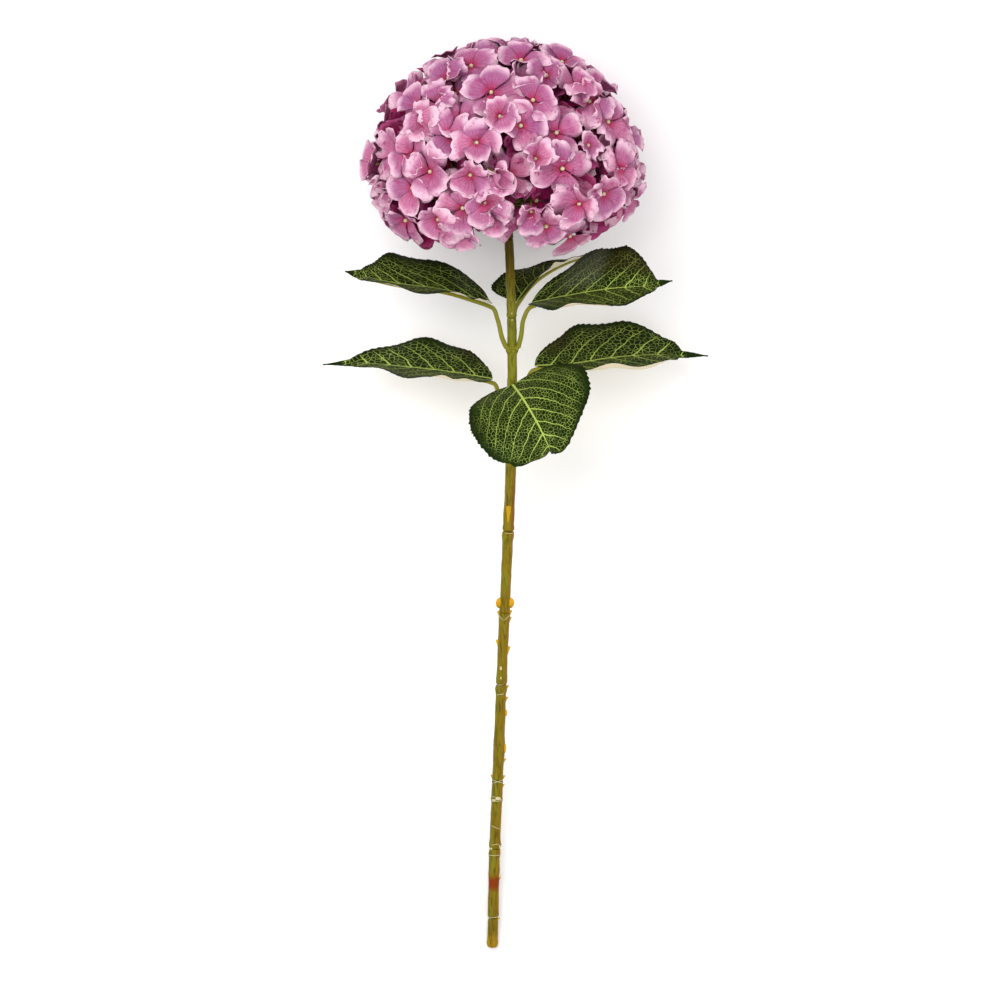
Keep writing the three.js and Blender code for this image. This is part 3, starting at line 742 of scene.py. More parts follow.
def petal_points(places):
    """One point for each petal, with the turn, size and face that the tree reads."""
    points, turns, sizes, faces = [], [], [], []
    for place in places:
        face = place["face"]
        right = square(place["side"], face)
        base = Matrix((right, face.cross(right), face)).transposed()
        for k in range(PETALS):
            loose = look.uniform(-TURN_LOOSENESS, TURN_LOOSENESS)
            spin = place["spin"] + 2 * math.pi * k / PETALS + math.radians(loose)
            lift = math.radians(place["opening"] + look.uniform(-1, 1) * LIFT_LOOSENESS)
            turn = base @ Matrix.Rotation(spin, 3, "Z") @ Matrix.Rotation(lift, 3, "X")
            points.append(to_frame(place["middle"] + face * PETAL_STEP * (k % 2)))
            turns.append(Vector(turn.to_euler()))
            sizes.append(place["size"] * look.uniform(*PETAL_SIZES) * 0.001)
            faces.append(face)
    print("petals:", len(points))
    return points, {"petal_turn": turns, "petal_size": sizes, "petal_face": faces}


# %% [markdown]
# ## The tree that scatters the petals
# The tree picks a petal kind for each point with a seeded draw, turns and scales it by the point's
# own values, and makes the copies real. Then a noise crumples them, so that no two petals are
# alike, and whatever would reach through the floor is pressed level on it. Two helpers open and
# end a tree.

# %% Opening and ending a tree
FLOAT = {"data_type": "FLOAT"}
VECTOR = {"data_type": "FLOAT_VECTOR"}


def new_tree(name, inputs):
    """A Geometry Nodes tree with named inputs, each with its kind, and one output."""
    tree = bpy.data.node_groups.new(name, "GeometryNodeTree")
    for label, kind in inputs.items():
        tree.interface.new_socket(name=label, in_out="INPUT", socket_type="NodeSocket" + kind)
    tree.interface.new_socket(name="Result", in_out="OUTPUT", socket_type="NodeSocketGeometry")
    return tree, add(tree, "NodeGroupInput").outputs


def end_tree(tree, shape, material):
    """Makes a tree's result real and smooth, gives it its material and hands it out."""
    real = add(tree, "GeometryNodeRealizeInstances", {}, {"Geometry": shape})
    smooth = add(
        tree, "GeometryNodeSetShadeSmooth", {}, {"Geometry": real, "Shade Smooth": True}
    )
    finished = add(
        tree, "GeometryNodeSetMaterial", {}, {"Geometry": smooth, "Material": material}
    )
    add(tree, "NodeGroupOutput", {}, {0: finished})
    print(f"tree {tree.name}: {len(tree.nodes)} nodes")
    return tree


# %% The petal tree
def petal_tree():
    """Scatters the kinds of petal over points, crumples them and presses them on the floor."""
    tree, given = new_tree(
        "scatter_petals",
        {
            "Points": "Geometry",
            "Petal kinds": "Collection",
            "Number of kinds": "Int",
            "Seed": "Int",
            "Crumple": "Float",
            "Crumple scale": "Float",
            "Floor height": "Float",
            "Floor softness": "Float",
            "Cloth": "Material",
        },
    )
    turn, size, along, face = [
        add(tree, "GeometryNodeInputNamedAttribute", kind, {"Name": key})
        for key, kind in (
            ("petal_turn", VECTOR), ("petal_size", FLOAT), ("along", FLOAT), ("petal_face", VECTOR)
        )
    ]
    kinds = add(
        tree,
        "GeometryNodeCollectionInfo",
        {"transform_space": "ORIGINAL"},
        {"Collection": given["Petal kinds"], "Separate Children": True, "Reset Children": True},
    )
    seed = given["Seed"]
    count = given["Number of kinds"]
    last = add(tree, "ShaderNodeMath", {"operation": "SUBTRACT"}, {0: count, 1: 1})
    pick = {4: 0, 5: last, "Seed": seed}
    pick = add(tree, "FunctionNodeRandomValue", {"data_type": "INT"}, pick).outputs[2]
    copies = {"Points": given["Points"], "Instance": kinds, "Rotation": turn, "Scale": size}
    copies.update({"Pick Instance": True, "Instance Index": pick})
    copies = add(tree, "GeometryNodeInstanceOnPoints", {}, copies)
    tint = add(tree, "FunctionNodeRandomValue", FLOAT, {"Seed": seed}).outputs[1]
    tinted = add(
        tree,
        "GeometryNodeStoreNamedAttribute",
        {"data_type": "FLOAT", "domain": "INSTANCE"},
        {"Geometry": copies, "Name": "tint", "Value": tint},
    )
    real = add(tree, "GeometryNodeRealizeInstances", {}, {"Geometry": tinted})
    # crumple: push each point along its floret's face, more towards the rim
    place = add(tree, "GeometryNodeInputPosition")
    ripple = {"Vector": place, "Scale": given["Crumple scale"], "Detail": 1.0}
    ripple = add(tree, "ShaderNodeTexNoise", {}, ripple)
    push = add(tree, "ShaderNodeMapRange", {}, {0: ripple, 1: 0.25, 2: 0.75, 3: -1.0, 4: 1.0})
    for share in (along, given["Crumple"]):
        push = add(tree, "ShaderNodeMath", TIMES, {0: push, 1: share})
    offset = add(tree, "ShaderNodeVectorMath", {"operation": "SCALE"}, {0: face, "Scale": push})
    crumpled = add(tree, "GeometryNodeSetPosition", {}, {"Geometry": real, "Offset": offset})
    # press: no point goes below the floor
    place = add(tree, "GeometryNodeInputPosition")
    parts = add(tree, "ShaderNodeSeparateXYZ", {}, {0: place}).outputs
    floor_level = {0: parts[2], 1: given["Floor height"], 2: given["Floor softness"]}
    height = add(tree, "ShaderNodeMath", {"operation": "SMOOTH_MAX"}, floor_level)
    pressed = add(tree, "ShaderNodeCombineXYZ", {}, {0: parts[0], 1: parts[1], 2: height})
    level = add(tree, "GeometryNodeSetPosition", {}, {"Geometry": crumpled, "Position": pressed})
    return end_tree(tree, level, given["Cloth"])


# %% Scattering the petals
scatter = petal_tree()


def petal_piece(name, places, kinds, seed, cloth):
    """The petals of some florets, crumpled and pressed, as one mesh in the order of the florets."""
    points, attributes = petal_points(places)
    source = make_mesh(name + "_points", points, [], attributes)
    values = {
        "Petal kinds": kinds,
        "Number of kinds": PETAL_KINDS,
        "Seed": seed,
        "Crumple": 0.0038,
        "Crumple scale": 60.0,
        "Floor height": 0.0004,
        "Floor softness": 0.003,
        "Cloth": cloth,
    }
    return run_tree(source, name, scatter, values)


inner_petals = petal_piece("inner_petals", inner, coarse_petals, 2, painted_shade_cloth)
outer_petals = petal_piece("outer_petals", outer, coarse_petals, 1, petal_cloth)
front_petals = petal_piece("front_petals", front, fine_petals, 5, petal_cloth)
for collection in (coarse_petals, fine_petals):
    for petal in list(collection.objects):
        bpy.data.objects.remove(petal)
    bpy.data.collections.remove(collection)

# %% [markdown]
# ## Draping the florets over each other
# Cloth petals can't pass through each other: a floret that stands further out lies on the ones
# below. So the florets are draped one by one, the deepest first. From each point of a petal a ray
# looks down towards the middle of the head, and where a petal that is already laid is in the way,
# the point is lifted onto it. At last, what stands out too far is drawn in, as a florist's hand
# rounds the head.

# %% Draping
CLEARANCE = 1.3  # millimetres between a petal and the one that it lies on
MOST_LIFT = 9
NEIGHBOUR_REACH = 62  # millimetres from floret to floret
HEAD_REACH = (112, 109, 66)  # the rounded head's radius, its crown and its skirt
DRAWN_IN = 0.35  # what is left of the part of a petal that stands out further
CLOTH_ROOM = 0.3  # millimetres between the cloth and the floor


def grid_faces(squares):
    """The faces of one sheet of a petal, as numbers of its points."""
    wide = squares + 1
    return [
        (i * wide + j, i * wide + j + 1, (i + 1) * wide + j + 1, (i + 1) * wide + j)
        for i in range(squares)
        for j in range(squares)
    ]


def spread(lifts, squares):
    """Softens the lifts of a petal's points, and lowers none."""
    wide = squares + 1
    soft = []
    for k, own in enumerate(lifts):
        i, j = divmod(k, wide)
        near = [
            lifts[a * wide + b]
            for a, b in ((i - 1, j), (i + 1, j), (i, j - 1), (i, j + 1))
            if 0 <= a < wide and 0 <= b < wide
        ]
        soft.append(max(own, sum(near) / len(near)))
    return soft


def drape(piece, places, squares, laid):
    """Lays a piece's florets over those in "laid", one by one, and adds them to it."""
    sheet = (squares + 1) ** 2
    faces = grid_faces(squares)
    middle = to_frame(head_middle)
    points = [v.co.copy() for v in piece.data.vertices]
    highest = 0
    for n, place in enumerate(places):
        centre = to_frame(place["middle"])
        near = [entry for entry in laid if (entry[0] - centre).length < NEIGHBOUR_REACH * 0.001]
        corners = [p for _, sheets, _ in near for p in sheets]
        polygons, first = [], 0
        for _, sheets, shape in near:
            polygons += [tuple(first + k for k in face) for face in shape]
            first += len(sheets)
        below = BVHTree.FromPolygons(corners, polygons) if polygons else None
        own_points, own_faces = [], []
        for petal in range(PETALS):
            start = (n * PETALS + petal) * 2 * sheet
            lifts = []
            for p in points[start : start + sheet]:
                out = (p - middle).normalized()
                hit = below.ray_cast(p + out * MOST_LIFT * 0.001, -out) if below else (None,)
                depth = MOST_LIFT * 0.001 - hit[3] if hit[0] else -1
                lifts.append(max(depth + CLEARANCE * 0.001, 0) if hit[0] else 0)
            lifts = spread(spread(lifts, squares), squares)
            highest = max(highest, *lifts)
            for k, lift in enumerate(lifts):
                for index in (start + k, start + sheet + k):
                    points[index] = points[index] + (points[index] - middle).normalized() * lift
            own_faces += [tuple(len(own_points) + k for k in face) for face in faces]
            own_points += points[start : start + sheet]
        laid.append((centre, own_points, own_faces))
    for index, p in enumerate(points):
        reach = (p - middle) * 1000
        far = dome_share(reach, *HEAD_REACH)
        if far > 1:
            p = middle + reach * 0.001 * (1 + (far - 1) * DRAWN_IN) / far
        points[index] = p
    # the lifts shear the cloth, so its two sides are set apart again, square to the surface
    wide = squares + 1
    for start in range(0, len(points), 2 * sheet):
        pairs = zip(points[start : start + sheet], points[start + sheet : start + 2 * sheet])
        halfway = [(upper + lower) / 2 for upper, lower in pairs]
        surface = [halfway[i * wide : (i + 1) * wide] for i in range(wide)]
        upper, lower = two_sheets(surface, PETAL_THICKNESS * FLORET_RADIUS * 0.001)
        points[start : start + 2 * sheet] = upper + lower
    points = [Vector((p.x, p.y, max(p.z, CLOTH_ROOM * 0.001))) for p in points]
    piece.data.vertices.foreach_set("co", [c for p in points for c in p])
    piece.data.update()
    print(f"{piece.name}: lifted by up to {highest * 1000:.1f} mm")


laid_florets = []
drape(inner_petals, inner, COARSE, laid_florets)
drape(outer_petals, outer, COARSE, laid_florets)
drape(front_petals, front, FINE, laid_florets)
finish_piece(front_petals, ["flower_head"])
finish_piece(outer_petals)
finish_piece(inner_petals)

# %% [markdown]
# ## Beads, pedicels and branchlets
# A small cream bead pins the petals of each floret to its pedicel. The pedicels and the branchlets
# under the head are thin moulded stalks: paths with a thickness at each point, which one tree turns
# into tubes. The leaf stalks use the same tree. Soft plastic has a dull gloss and a faint grain.

# %% Stalk plastic
MOULD_GRAIN = 900.0  # grains in a metre, about 1 mm each


def moulded_plastic(name, low, high, scale, roughness):
    """Moulded polyethylene with a slow drift of colour and a faint grain from its mould."""
    material, tree, shader = new_material(name, roughness, specular=0.2)
    place = add(tree, "ShaderNodeTexCoord").outputs["Object"]
    drift, grain = [
        add(tree, "ShaderNodeTexNoise", {}, {"Vector": place, "Scale": size, "Detail": detail})
        for size, detail in ((scale, 3.0), (MOULD_GRAIN, 2.0))
    ]
    mixed = {0: drift, 6: linear(low), 7: linear(high)}
    colour = add(tree, "ShaderNodeMix", COLOUR, mixed).outputs[2]
    end_material(tree, shader, colour, grain, strength=0.3, depth=0.0002)
    return material


stalk_plastic = moulded_plastic("moulded_polyethylene_stalks", "#6f6e14", "#918c2c", 60.0, 0.45)
bead_plastic = moulded_plastic("moulded_polyethylene_beads", "#c4be88", "#dcd6ac", 300.0, 0.5)


# %% The tube tree
def tube_tree():
    """Turns each path into a tube that is as thick as the path's points say."""
    inputs = {"Paths": "Geometry", "Sides": "Int", "Plastic": "Material"}
    tree, given = new_tree("tubes_along_paths", inputs)
    paths = add(tree, "GeometryNodeMeshToCurve", {}, {"Mesh": given["Paths"]})
    thickness = add(tree, "GeometryNodeInputNamedAttribute", FLOAT, {"Name": "thickness"})
    circle = {"Resolution": given["Sides"], "Radius": 1.0}
    circle = add(tree, "GeometryNodeCurvePrimitiveCircle", {"mode": "RADIUS"}, circle)
    tubes = {"Curve": paths, "Profile Curve": circle, "Scale": thickness, "Fill Caps": True}
    tubes = add(tree, "GeometryNodeCurveToMesh", {}, tubes)
    return end_tree(tree, tubes, given["Plastic"])


tubes_along_paths = tube_tree()


def tubes(name, paths, sides, plastic):
    """Tubes along paths, each a list of (point, radius) in millimetres."""
    points, edges, thickness = [], [], []
    for path in paths:
        first = len(points)
        points += [to_frame(p) for p, _ in path]
        thickness += [radius * 0.001 for _, radius in path]
        edges += [(i, i + 1) for i in range(first, len(points) - 1)]
    source = make_mesh(name + "_paths", points, [], {"thickness": thickness})
    source.data.edges.add(len(edges))
    source.data.edges.foreach_set("vertices", [i for edge in edges for i in edge])
    return run_tree(source, name, tubes_along_paths, {"Sides": sides, "Plastic": plastic})


# %% Branchlets and pedicels
HUB_OUTLINE = [(583.5, 3.6), (586, 4.1), (592, 3.9), (598.3, 2.4)]
BRANCHLETS = 8
BRANCHLET_WAY = [(2, 588), (14, 590.6), (28, 584.9), (40, 579.4)]
BRANCHLET_RADII = [1.5, 1.3, 1.2, 1]
PATH_STEPS = 12
PEDICEL_START = WIRE_END + 6  # inside the hub
PEDICEL_RISE = 4  # how far a pedicel bends up before it turns out
PEDICEL_RADII = [1.2, 0.8, 0.7, 0.9]
PEDICEL_STEPS = 8
FLOOR_ROOM = 0.5  # between a stalk or a bead and the floor


def sampled(points, radii, steps):
    """A path of (point, radius) along a smooth curve, with the radii shared out evenly."""
    place, _ = curve_through(points)
    path = []
    for i in range(steps + 1):
        way = i / steps * (len(radii) - 1)
        k = min(int(way), len(radii) - 2)
        path.append((place(i / steps), mix(radii[k], radii[k + 1], way - k)))
    return path


def above_floor(point, room):
    """The point, or the one above it that has this room to the floor."""
    return Vector((point.x, point.y, max(point.z, room - SHIFT.z)))


def branchlet(i):
    """One of the stalks that spread from the hub under the florets."""
    turn = 2 * math.pi * (i + 0.5) / BRANCHLETS
    way = [head_point(radius, y - HEAD_Y, turn) for radius, y in BRANCHLET_WAY]
    return sampled(way, BRANCHLET_RADII, PATH_STEPS)


def pedicel(place):
    """A thin stalk from the hub out to the back of a floret."""
    start = head_point(0, PEDICEL_START - HEAD_Y, 0)
    end = place["middle"] - place["face"] * 1.0
    reach = end - start
    bend = start + reach * 0.45 + head_along * PEDICEL_RISE
    near = end - place["face"] * reach.length * 0.2
    path = sampled([start, bend, near, end], PEDICEL_RADII, PEDICEL_STEPS)
    return [(above_floor(p, radius + FLOOR_ROOM), radius) for p, radius in path]


hub = [(axis_at(y)[0], radius) for y, radius in HUB_OUTLINE]
branches = [hub, *[branchlet(i) for i in range(BRANCHLETS)]]
stalks = tubes("flower_branches", branches, 16, stalk_plastic)
finish_piece(stalks, ["flower_stalk"])
all_florets = front + outer + inner
pedicels = tubes("pedicels", [pedicel(place) for place in all_florets], 5, stalk_plastic)
finish_piece(pedicels)

# %% Beads
BEAD_RADIUS = 1.75
BEAD_LIFT = 1.3


def bead_tree():
    """Sets a ball on each point."""
    inputs = {"Points": "Geometry", "Bead radius": "Float", "Plastic": "Material"}
    tree, given = new_tree("bead_on_each_floret", inputs)
    ball = {"Radius": given["Bead radius"], "Subdivisions": 2}
    ball = add(tree, "GeometryNodeMeshIcoSphere", {}, ball)
    beads = {"Points": given["Points"], "Instance": ball}
    beads = add(tree, "GeometryNodeInstanceOnPoints", {}, beads)
    return end_tree(tree, beads, given["Plastic"])


bead_centres = [place["middle"] + place["face"] * BEAD_LIFT for place in all_florets]
bead_points = [to_frame(above_floor(p, BEAD_RADIUS + FLOOR_ROOM)) for p in bead_centres]
bead_source = make_mesh("bead_points", bead_points, [])
bead_values = {"Bead radius": BEAD_RADIUS * 0.001, "Plastic": bead_plastic}
beads = run_tree(bead_source, "beads", bead_tree(), bead_values)
finish_piece(beads)

# %% [markdown]
# ## Leaf fabric
# A leaf is two layers of coated polyester: dark green with a printed net of pale veins above,
# cream below. Each point of the blade keeps its place on the flat cloth in millimetres, and how
# far it is from the midrib, from the next side vein and from the edge, so the print follows the
# leaf wherever it bends.

# %% Leaf fabric
NET_CELL = 2.7  # millimetres across a mesh of the printed net, before a leaf's own "net" scales it
NET_CELLS = {"feature": "DISTANCE_TO_EDGE", "voronoi_dimensions": "2D"}


def leaf_print(name, dark, fresh, vein, brown, pale):
    """Coated polyester with a midrib, side veins and a net between them, all printed."""
    material, tree, shader = new_material(name, roughness=0.45, specular=0.03)
    flat = add(tree, "ShaderNodeAttribute", {"attribute_name": "on_cloth"}).outputs["Vector"]
    rib, side, reach, browned, painted_sheen = [
        add(tree, "ShaderNodeAttribute", {"attribute_name": key}).outputs["Fac"]
        for key in ("rib", "side_vein", "reach", "browned", "painted_sheen")
    ]
    # a shaky hand, patches of ink of about 10 mm, patches of green of about 30 mm, and the weave
    shake, uneven, green, weave = [
        add(tree, "ShaderNodeTexNoise", {}, {"Vector": flat, "Scale": scale, "Detail": detail})
        for scale, detail in ((0.12, 3.0), (0.1, 2.0), (0.03, 3.0), (2.2, 2.0))
    ]
    shift = {0: shake.outputs["Color"], "Scale": 3.4}
    shift = add(tree, "ShaderNodeVectorMath", {"operation": "SCALE"}, shift)
    moved = add(tree, "ShaderNodeVectorMath", {"operation": "ADD"}, {0: flat, 1: shift})
    cells = add(tree, "ShaderNodeTexVoronoi", NET_CELLS, {"Vector": moved, "Scale": 1 / NET_CELL})
    ink = add(tree, "ShaderNodeMapRange", {}, {0: uneven, 1: 0.38, 2: 0.62, 3: 0.32, 4: 0.85})
    # side veins stand at whole numbers of their own count, and thin out towards the edge
    sway = add(tree, "ShaderNodeMath", TIMES_PLUS, {0: shake, 1: 0.34, 2: side})
    away = add(tree, "ShaderNodeMath", FOLDED, {0: sway, 1: 0.5})
    width = add(tree, "ShaderNodeMapRange", {}, {0: reach, 1: 0.0, 2: 0.95, 3: 0.06, 4: 0.012})
    core = add(tree, "ShaderNodeMath", TIMES, {0: width, 1: 0.4})
    # each mark: what it follows, where it starts, where it is full, and how strong it is there
    net, side_line, rib_line, printed, sheen_in_weave = [
        add(tree, "ShaderNodeMapRange", SMOOTH, {0: follows, 1: start, 2: full, 4: most})
        for follows, start, full, most in (
            (cells, 0.085, 0.015, ink),
            (away, width, core, 1.0),
            (rib, 1.0, 0.6, 1.0),
            (reach, 0.98, 0.74, 1.0),  # the print leaves the edge bare
            (weave, 0.35, 0.7, 1.0),
        )
    ]
    lines = net
    for line in (side_line, rib_line):
        lines = add(tree, "ShaderNodeMath", {"operation": "MAXIMUM"}, {0: lines, 1: line})
    lines = add(tree, "ShaderNodeMath", TIMES, {0: lines, 1: printed})
    # brown patches over the print, and a pale painted sheen through the weave in places
    sheen_in_weave = add(tree, "ShaderNodeMath", TIMES, {0: sheen_in_weave, 1: painted_sheen})
    colour = linear(dark)
    for share, coat in zip((green, lines, browned, sheen_in_weave), (fresh, vein, brown, pale)):
        coat = {0: share, 6: colour, 7: linear(coat)}
        colour = add(tree, "ShaderNodeMix", COLOUR, coat).outputs[2]
    height = add(tree, "ShaderNodeMath", TIMES_PLUS, {0: lines, 1: -0.8, 2: weave})
    end_material(tree, shader, colour, height, strength=0.35, depth=0.0004)
    return material


def leaf_back(name, cream, shade):
    """The cream underside: plain woven polyester."""
    material, tree, shader = new_material(name, roughness=0.7, specular=0.3)
    flat = add(tree, "ShaderNodeAttribute", {"attribute_name": "on_cloth"}).outputs["Vector"]
    weave = add(tree, "ShaderNodeTexNoise", {}, {"Vector": flat, "Scale": 1.6, "Detail": 3.0})
    mixed = {0: weave, 6: linear(cream), 7: linear(shade)}
    colour = add(tree, "ShaderNodeMix", COLOUR, mixed).outputs[2]
    end_material(tree, shader, colour, weave, strength=0.3, depth=0.0003)
    return material


# the last colour is the painted sheen
leaf_greens = ("#0d1704", "#22340d", "#adc25c", "#2c1d12", "#b4bba8")
leaf_upper = leaf_print("coated_polyester_leaves", *leaf_greens)
leaf_lower = leaf_back("plain_polyester_leaf_backs", "#e4d9c0", "#c9bb98")

# %% [markdown]
# ## Leaf shapes
# The blade follows the same midrib, fold and ripple as its solid, with the fine teeth and the
# drawn-out point that the solid leaves out. It is worked out row by row along the midrib: each
# half has its own width, leans by its own fold, and may curl over at its edge. The leaf stalk is
# one of the tubes. It runs on under the blade as its rib, as the moulded stalk of the real leaf
# does.

# %% Leaf sizes
BLADE_END = 0.86  # share of the length where the broad part ends and the drawn-out tip is left
TIP_START = 0.8
TIP_WIDTH = 0.11  # half its width there, as a share of the blade's
TIP_FACE = Vector((0, 0.4, 0.92))
TIP_TURNS = (0.76, 0.9)  # shares of the length between which the blade turns to TIP_FACE
NARROWEST = 0.6
LEAF_WAVES = 3.2
LEAF_WAVE_SHIFT = 0.23
LEAF_THICKNESS = 0.5
LEAF_ROOM = 0.3  # between a blade and the floor
SWEEP_START = 0.72  # from here on a half may run ahead of the rib, which bends down at the tip
SWEEP_FULL = 0.86
TEETH = 30
ROWS_PER_TOOTH = 4
TOOTH_DEPTH = 1.3
TOOTH_SIZES = (0.3, 1.3)
TOOTH_RISE = 0.8  # share of a tooth that rises, before it falls
FULL_TEETH = 12  # half the width from which the teeth are whole
EDGE = 0.84  # share of the half width where the teeth begin to tell
TOOTH_SEED = 31
SIDE_VEIN_STEP = 0.125  # of the blade's length
VEIN_LEAN = 0.62  # how far side veins run towards the tip, in all and more towards the edge
VEIN_BEND = 0.014
GUTTER_WIDTH = 1.6
GUTTER_DEPTH = 0.45
RIB_PRINT = (1.3, 0.4)  # half the width of the printed midrib, at the base and at the tip
HALF_COLUMNS = [0, 0.03, 0.1, 0.2, 0.31, 0.43, 0.55, 0.67, 0.78, 0.84, 0.9, 0.95, 1]
STALK_RADIUS = 1.75
RIB_TIP_RADIUS = 0.8
RIB_REACH = 0.7
RIB_SEAT = 0.8
RIB_STEPS = 24
STALK_STEPS = 28
UPPER_FOOT = (483.5, 3.8)  # y on the stem, and the stem's radius there
LOWER_FOOT = (419.5, 4.1)

# Of each pair the first value is for the left half and the second for the right half, seen from
# the base. A low "base" makes a half widest near the stalk, and a low "fullness", given for the
# base and for the tip, makes it bulge. "folds" gives each half's fold at the base and at the tip,
# and "sweeps" how far it runs ahead of the rib at the tip, in degrees. "net" is the size of the
# printed cells. Each curl, brown patch and place of painted sheen has its half (-1 left, 1
# right), where it starts and ends along the blade, its strength (a curl's in degrees), and where
# it starts across the blade.
LEAVES = {
    "upper_left": {
        "half_widths": (44, 47), "bases": (0.9, 0.7), "fullness": ((0.66, 1.05), (0.5, 1.35)),
        "folds": ((12, 14), (14, 14)), "sweeps": (0, 0), "wave": 2.2, "tip": 1, "net": 4.0,
        "faces": [(0, 0.94, 0.34), (0, 0.9, 0.44)],
        "foot": UPPER_FOOT, "turn": 150, "stalk": [(7.4, 491, 86), (4, 505, 90)],
        "midrib": [
            (-1, 517.5, 95), (-37, 527.5, 112), (-76, 532.5, 132), (-102, 538, 142),
            (-117, 542, 144),
        ],
        "curls": [(-1, 0.03, 0.19, 34, 0.84)],
        "brown": [(1, 0, 0.45, 0.2, 0.7), (-1, 0.05, 0.95, 0.08, 0.1)],
        "painted_sheen": [(1, 0.05, 0.2, 0.1, 0.0)],
    },
    "upper_right": {
        "half_widths": (45, 48), "bases": (0.95, 0.92), "fullness": ((0.52, 0.68), (0.75, 0.8)),
        "folds": ((10, 10), (26, 22)), "sweeps": (0, 0), "wave": 2.5, "tip": 1, "net": 3.4,
        "faces": [(0, 0.8, 0.6), (0, 0.6, 0.8)],
        "foot": UPPER_FOOT, "turn": 30, "stalk": [(23, 492, 86), (25, 505, 90)],
        "midrib": [
            (31, 517.5, 97), (60, 523, 116), (92, 528, 134), (122, 530.5, 142), (143, 534.5, 143),
        ],
        "curls": [(1, 0.34, 0.66, 40, 0.9)],
        "brown": [(-1, 0.1, 1, 0.5, 0.2)],
        "painted_sheen": [(-1, 0.1, 0.5, 0.26, 0.0), (1, 0.02, 0.3, 0.14, 0.0)],
    },
    "upper_back": {
        "half_widths": (31, 30), "bases": (0.45, 0.6), "fullness": ((0.72, 1.05), (0.72, 1.05)),
        "folds": ((3, 6), (49, 15)), "sweeps": (0, 0), "wave": 1.2, "tip": 0, "net": 3.2,
        "faces": [(-0.19, 0.73, 0.66), (-0.5, 0.82, 0.25)],
        "foot": UPPER_FOOT, "turn": 270, "stalk": [(16.2, 495, 70), (17.4, 508, 65)],
        "rib_reach": 0.95,
        "midrib": [(19.5, 519, 58), (30, 533, 48), (43, 543.5, 38), (62, 553, 28), (86, 560, 19)],
        "curls": [], "brown": [(-1, -0.4, 1.4, 0.12, -0.4)], "painted_sheen": [],
    },
    "lower_left": {
        "half_widths": (43, 42), "bases": (0.62, 0.9), "fullness": ((0.55, 1.05), (0.72, 1.05)),
        "folds": ((6.5, 6.5), (18, 18)), "sweeps": (0, 0), "wave": 2, "tip": 0.6, "net": 4.2,
        "faces": [(0, 0.97, 0.25), (0, 0.94, 0.34)],
        "foot": LOWER_FOOT, "turn": 205, "stalk": [(8, 430, 66.5), (5, 444, 66)],
        "midrib": [
            (0, 457.2, 67), (-33, 462.8, 62), (-67, 466.8, 57), (-104, 470, 51), (-136, 469, 46),
        ],
        "curls": [(-1, 0.04, 0.32, 38, 0.82)],
        "brown": [(1, 0, 0.3, 0.4, 0.5)], "painted_sheen": [],
    },
    "lower_right": {
        "half_widths": (44, 43), "bases": (1.0, 1.5), "fullness": ((0.58, 0.62), (0.72, 1.05)),
        "folds": ((10, 10), (18, 14)), "sweeps": (0, 0), "wave": 2.4, "tip": 1, "net": 3.6,
        "faces": [(0, 0.86, 0.5), (0, 0.8, 0.6)],
        "foot": LOWER_FOOT, "turn": 335, "stalk": [(22.4, 432, 66.5), (26, 450, 66)],
        "midrib": [
            (34, 467.6, 67), (65, 469.6, 63), (98, 474.5, 58), (136, 477, 52), (173, 476, 46),
        ],
        "curls": [(1, 0.2, 0.84, 56, 0.8)],
        "brown": [(-1, 0, 0.35, 0.5, 0.3)], "painted_sheen": [],
    },
    "lower_front": {
        "half_widths": (54, 51), "bases": (0.72, 0.95), "fullness": ((0.72, 0.9), (0.4, 0.5)),
        "folds": ((8, 8), (11, 6)), "sweeps": (0, 50), "wave": 2.4, "tip": 0, "net": 2.6,
        "faces": [(-0.4, 0.85, 0.35), (-0.2, 0.5, 0.85), (-0.2, -0.6, 0.75)],
        "foot": LOWER_FOOT, "turn": 90, "stalk": [(14.8, 432, 79), (15, 444, 86)],
        "midrib": [
            (16.2, 452.4, 96), (25, 440, 124), (36, 421, 146), (45, 402, 154), (45, 399.5, 138),
        ],
        "curls": [(-1, 0.76, 0.92, 140, 0.8)], "brown": [], "painted_sheen": [],
    },
}
print("leaves:", ", ".join(LEAVES))


# %% The outline of a blade
def blade_width(t, base, fullness):
    """Half the width of the blade at t, as a share of its widest."""
    share = min(t / BLADE_END, 1)
    broad = max(math.sin(math.pi * share**base), 0) ** mix(*fullness, share)
    return max(broad, TIP_WIDTH * (1 - t) / (1 - TIP_START)) if t > TIP_START else broad


def tooth(t, sizes):
    """How far the edge stands out at t: a slow rise and a quick fall, towards the tip."""
    number = min(int(t * TEETH), TEETH - 1)
    share = t * TEETH - number
    rise = share / TOOTH_RISE if share <= TOOTH_RISE else (1 - share) / (1 - TOOTH_RISE)
    return sizes[number] * rise


def patch(patches, t, v):
    """How strong the patches of a leaf are at a place on it."""
    strength = 0
    for half, start, end, most, line in patches:
        if half * v > 0:
            soft = (end - start) * 0.35
            along = smooth_step(start, start + soft, t) * (1 - smooth_step(end - soft, end, t))
            strength = max(strength, most * along * smooth_step(line, line + 0.4, abs(v)))
    return strength


def rolled(curls, t, v):
    """The turn of a curled edge in radians, and where across the blade it starts."""
    for half, start, end, degrees, line in curls:
        if half * v > 0 and start < t < end:
            share = (t - start) / (end - start)
            ease = math.sin(math.pi * share) ** 0.7 * (0.8 - 0.2 * math.cos(4 * math.pi * share))
            return math.radians(degrees) * ease, line
    return 0, 1


print("widths along a blade:", [round(blade_width(k / 5, 1, (1, 1)), 2) for k in range(6)])


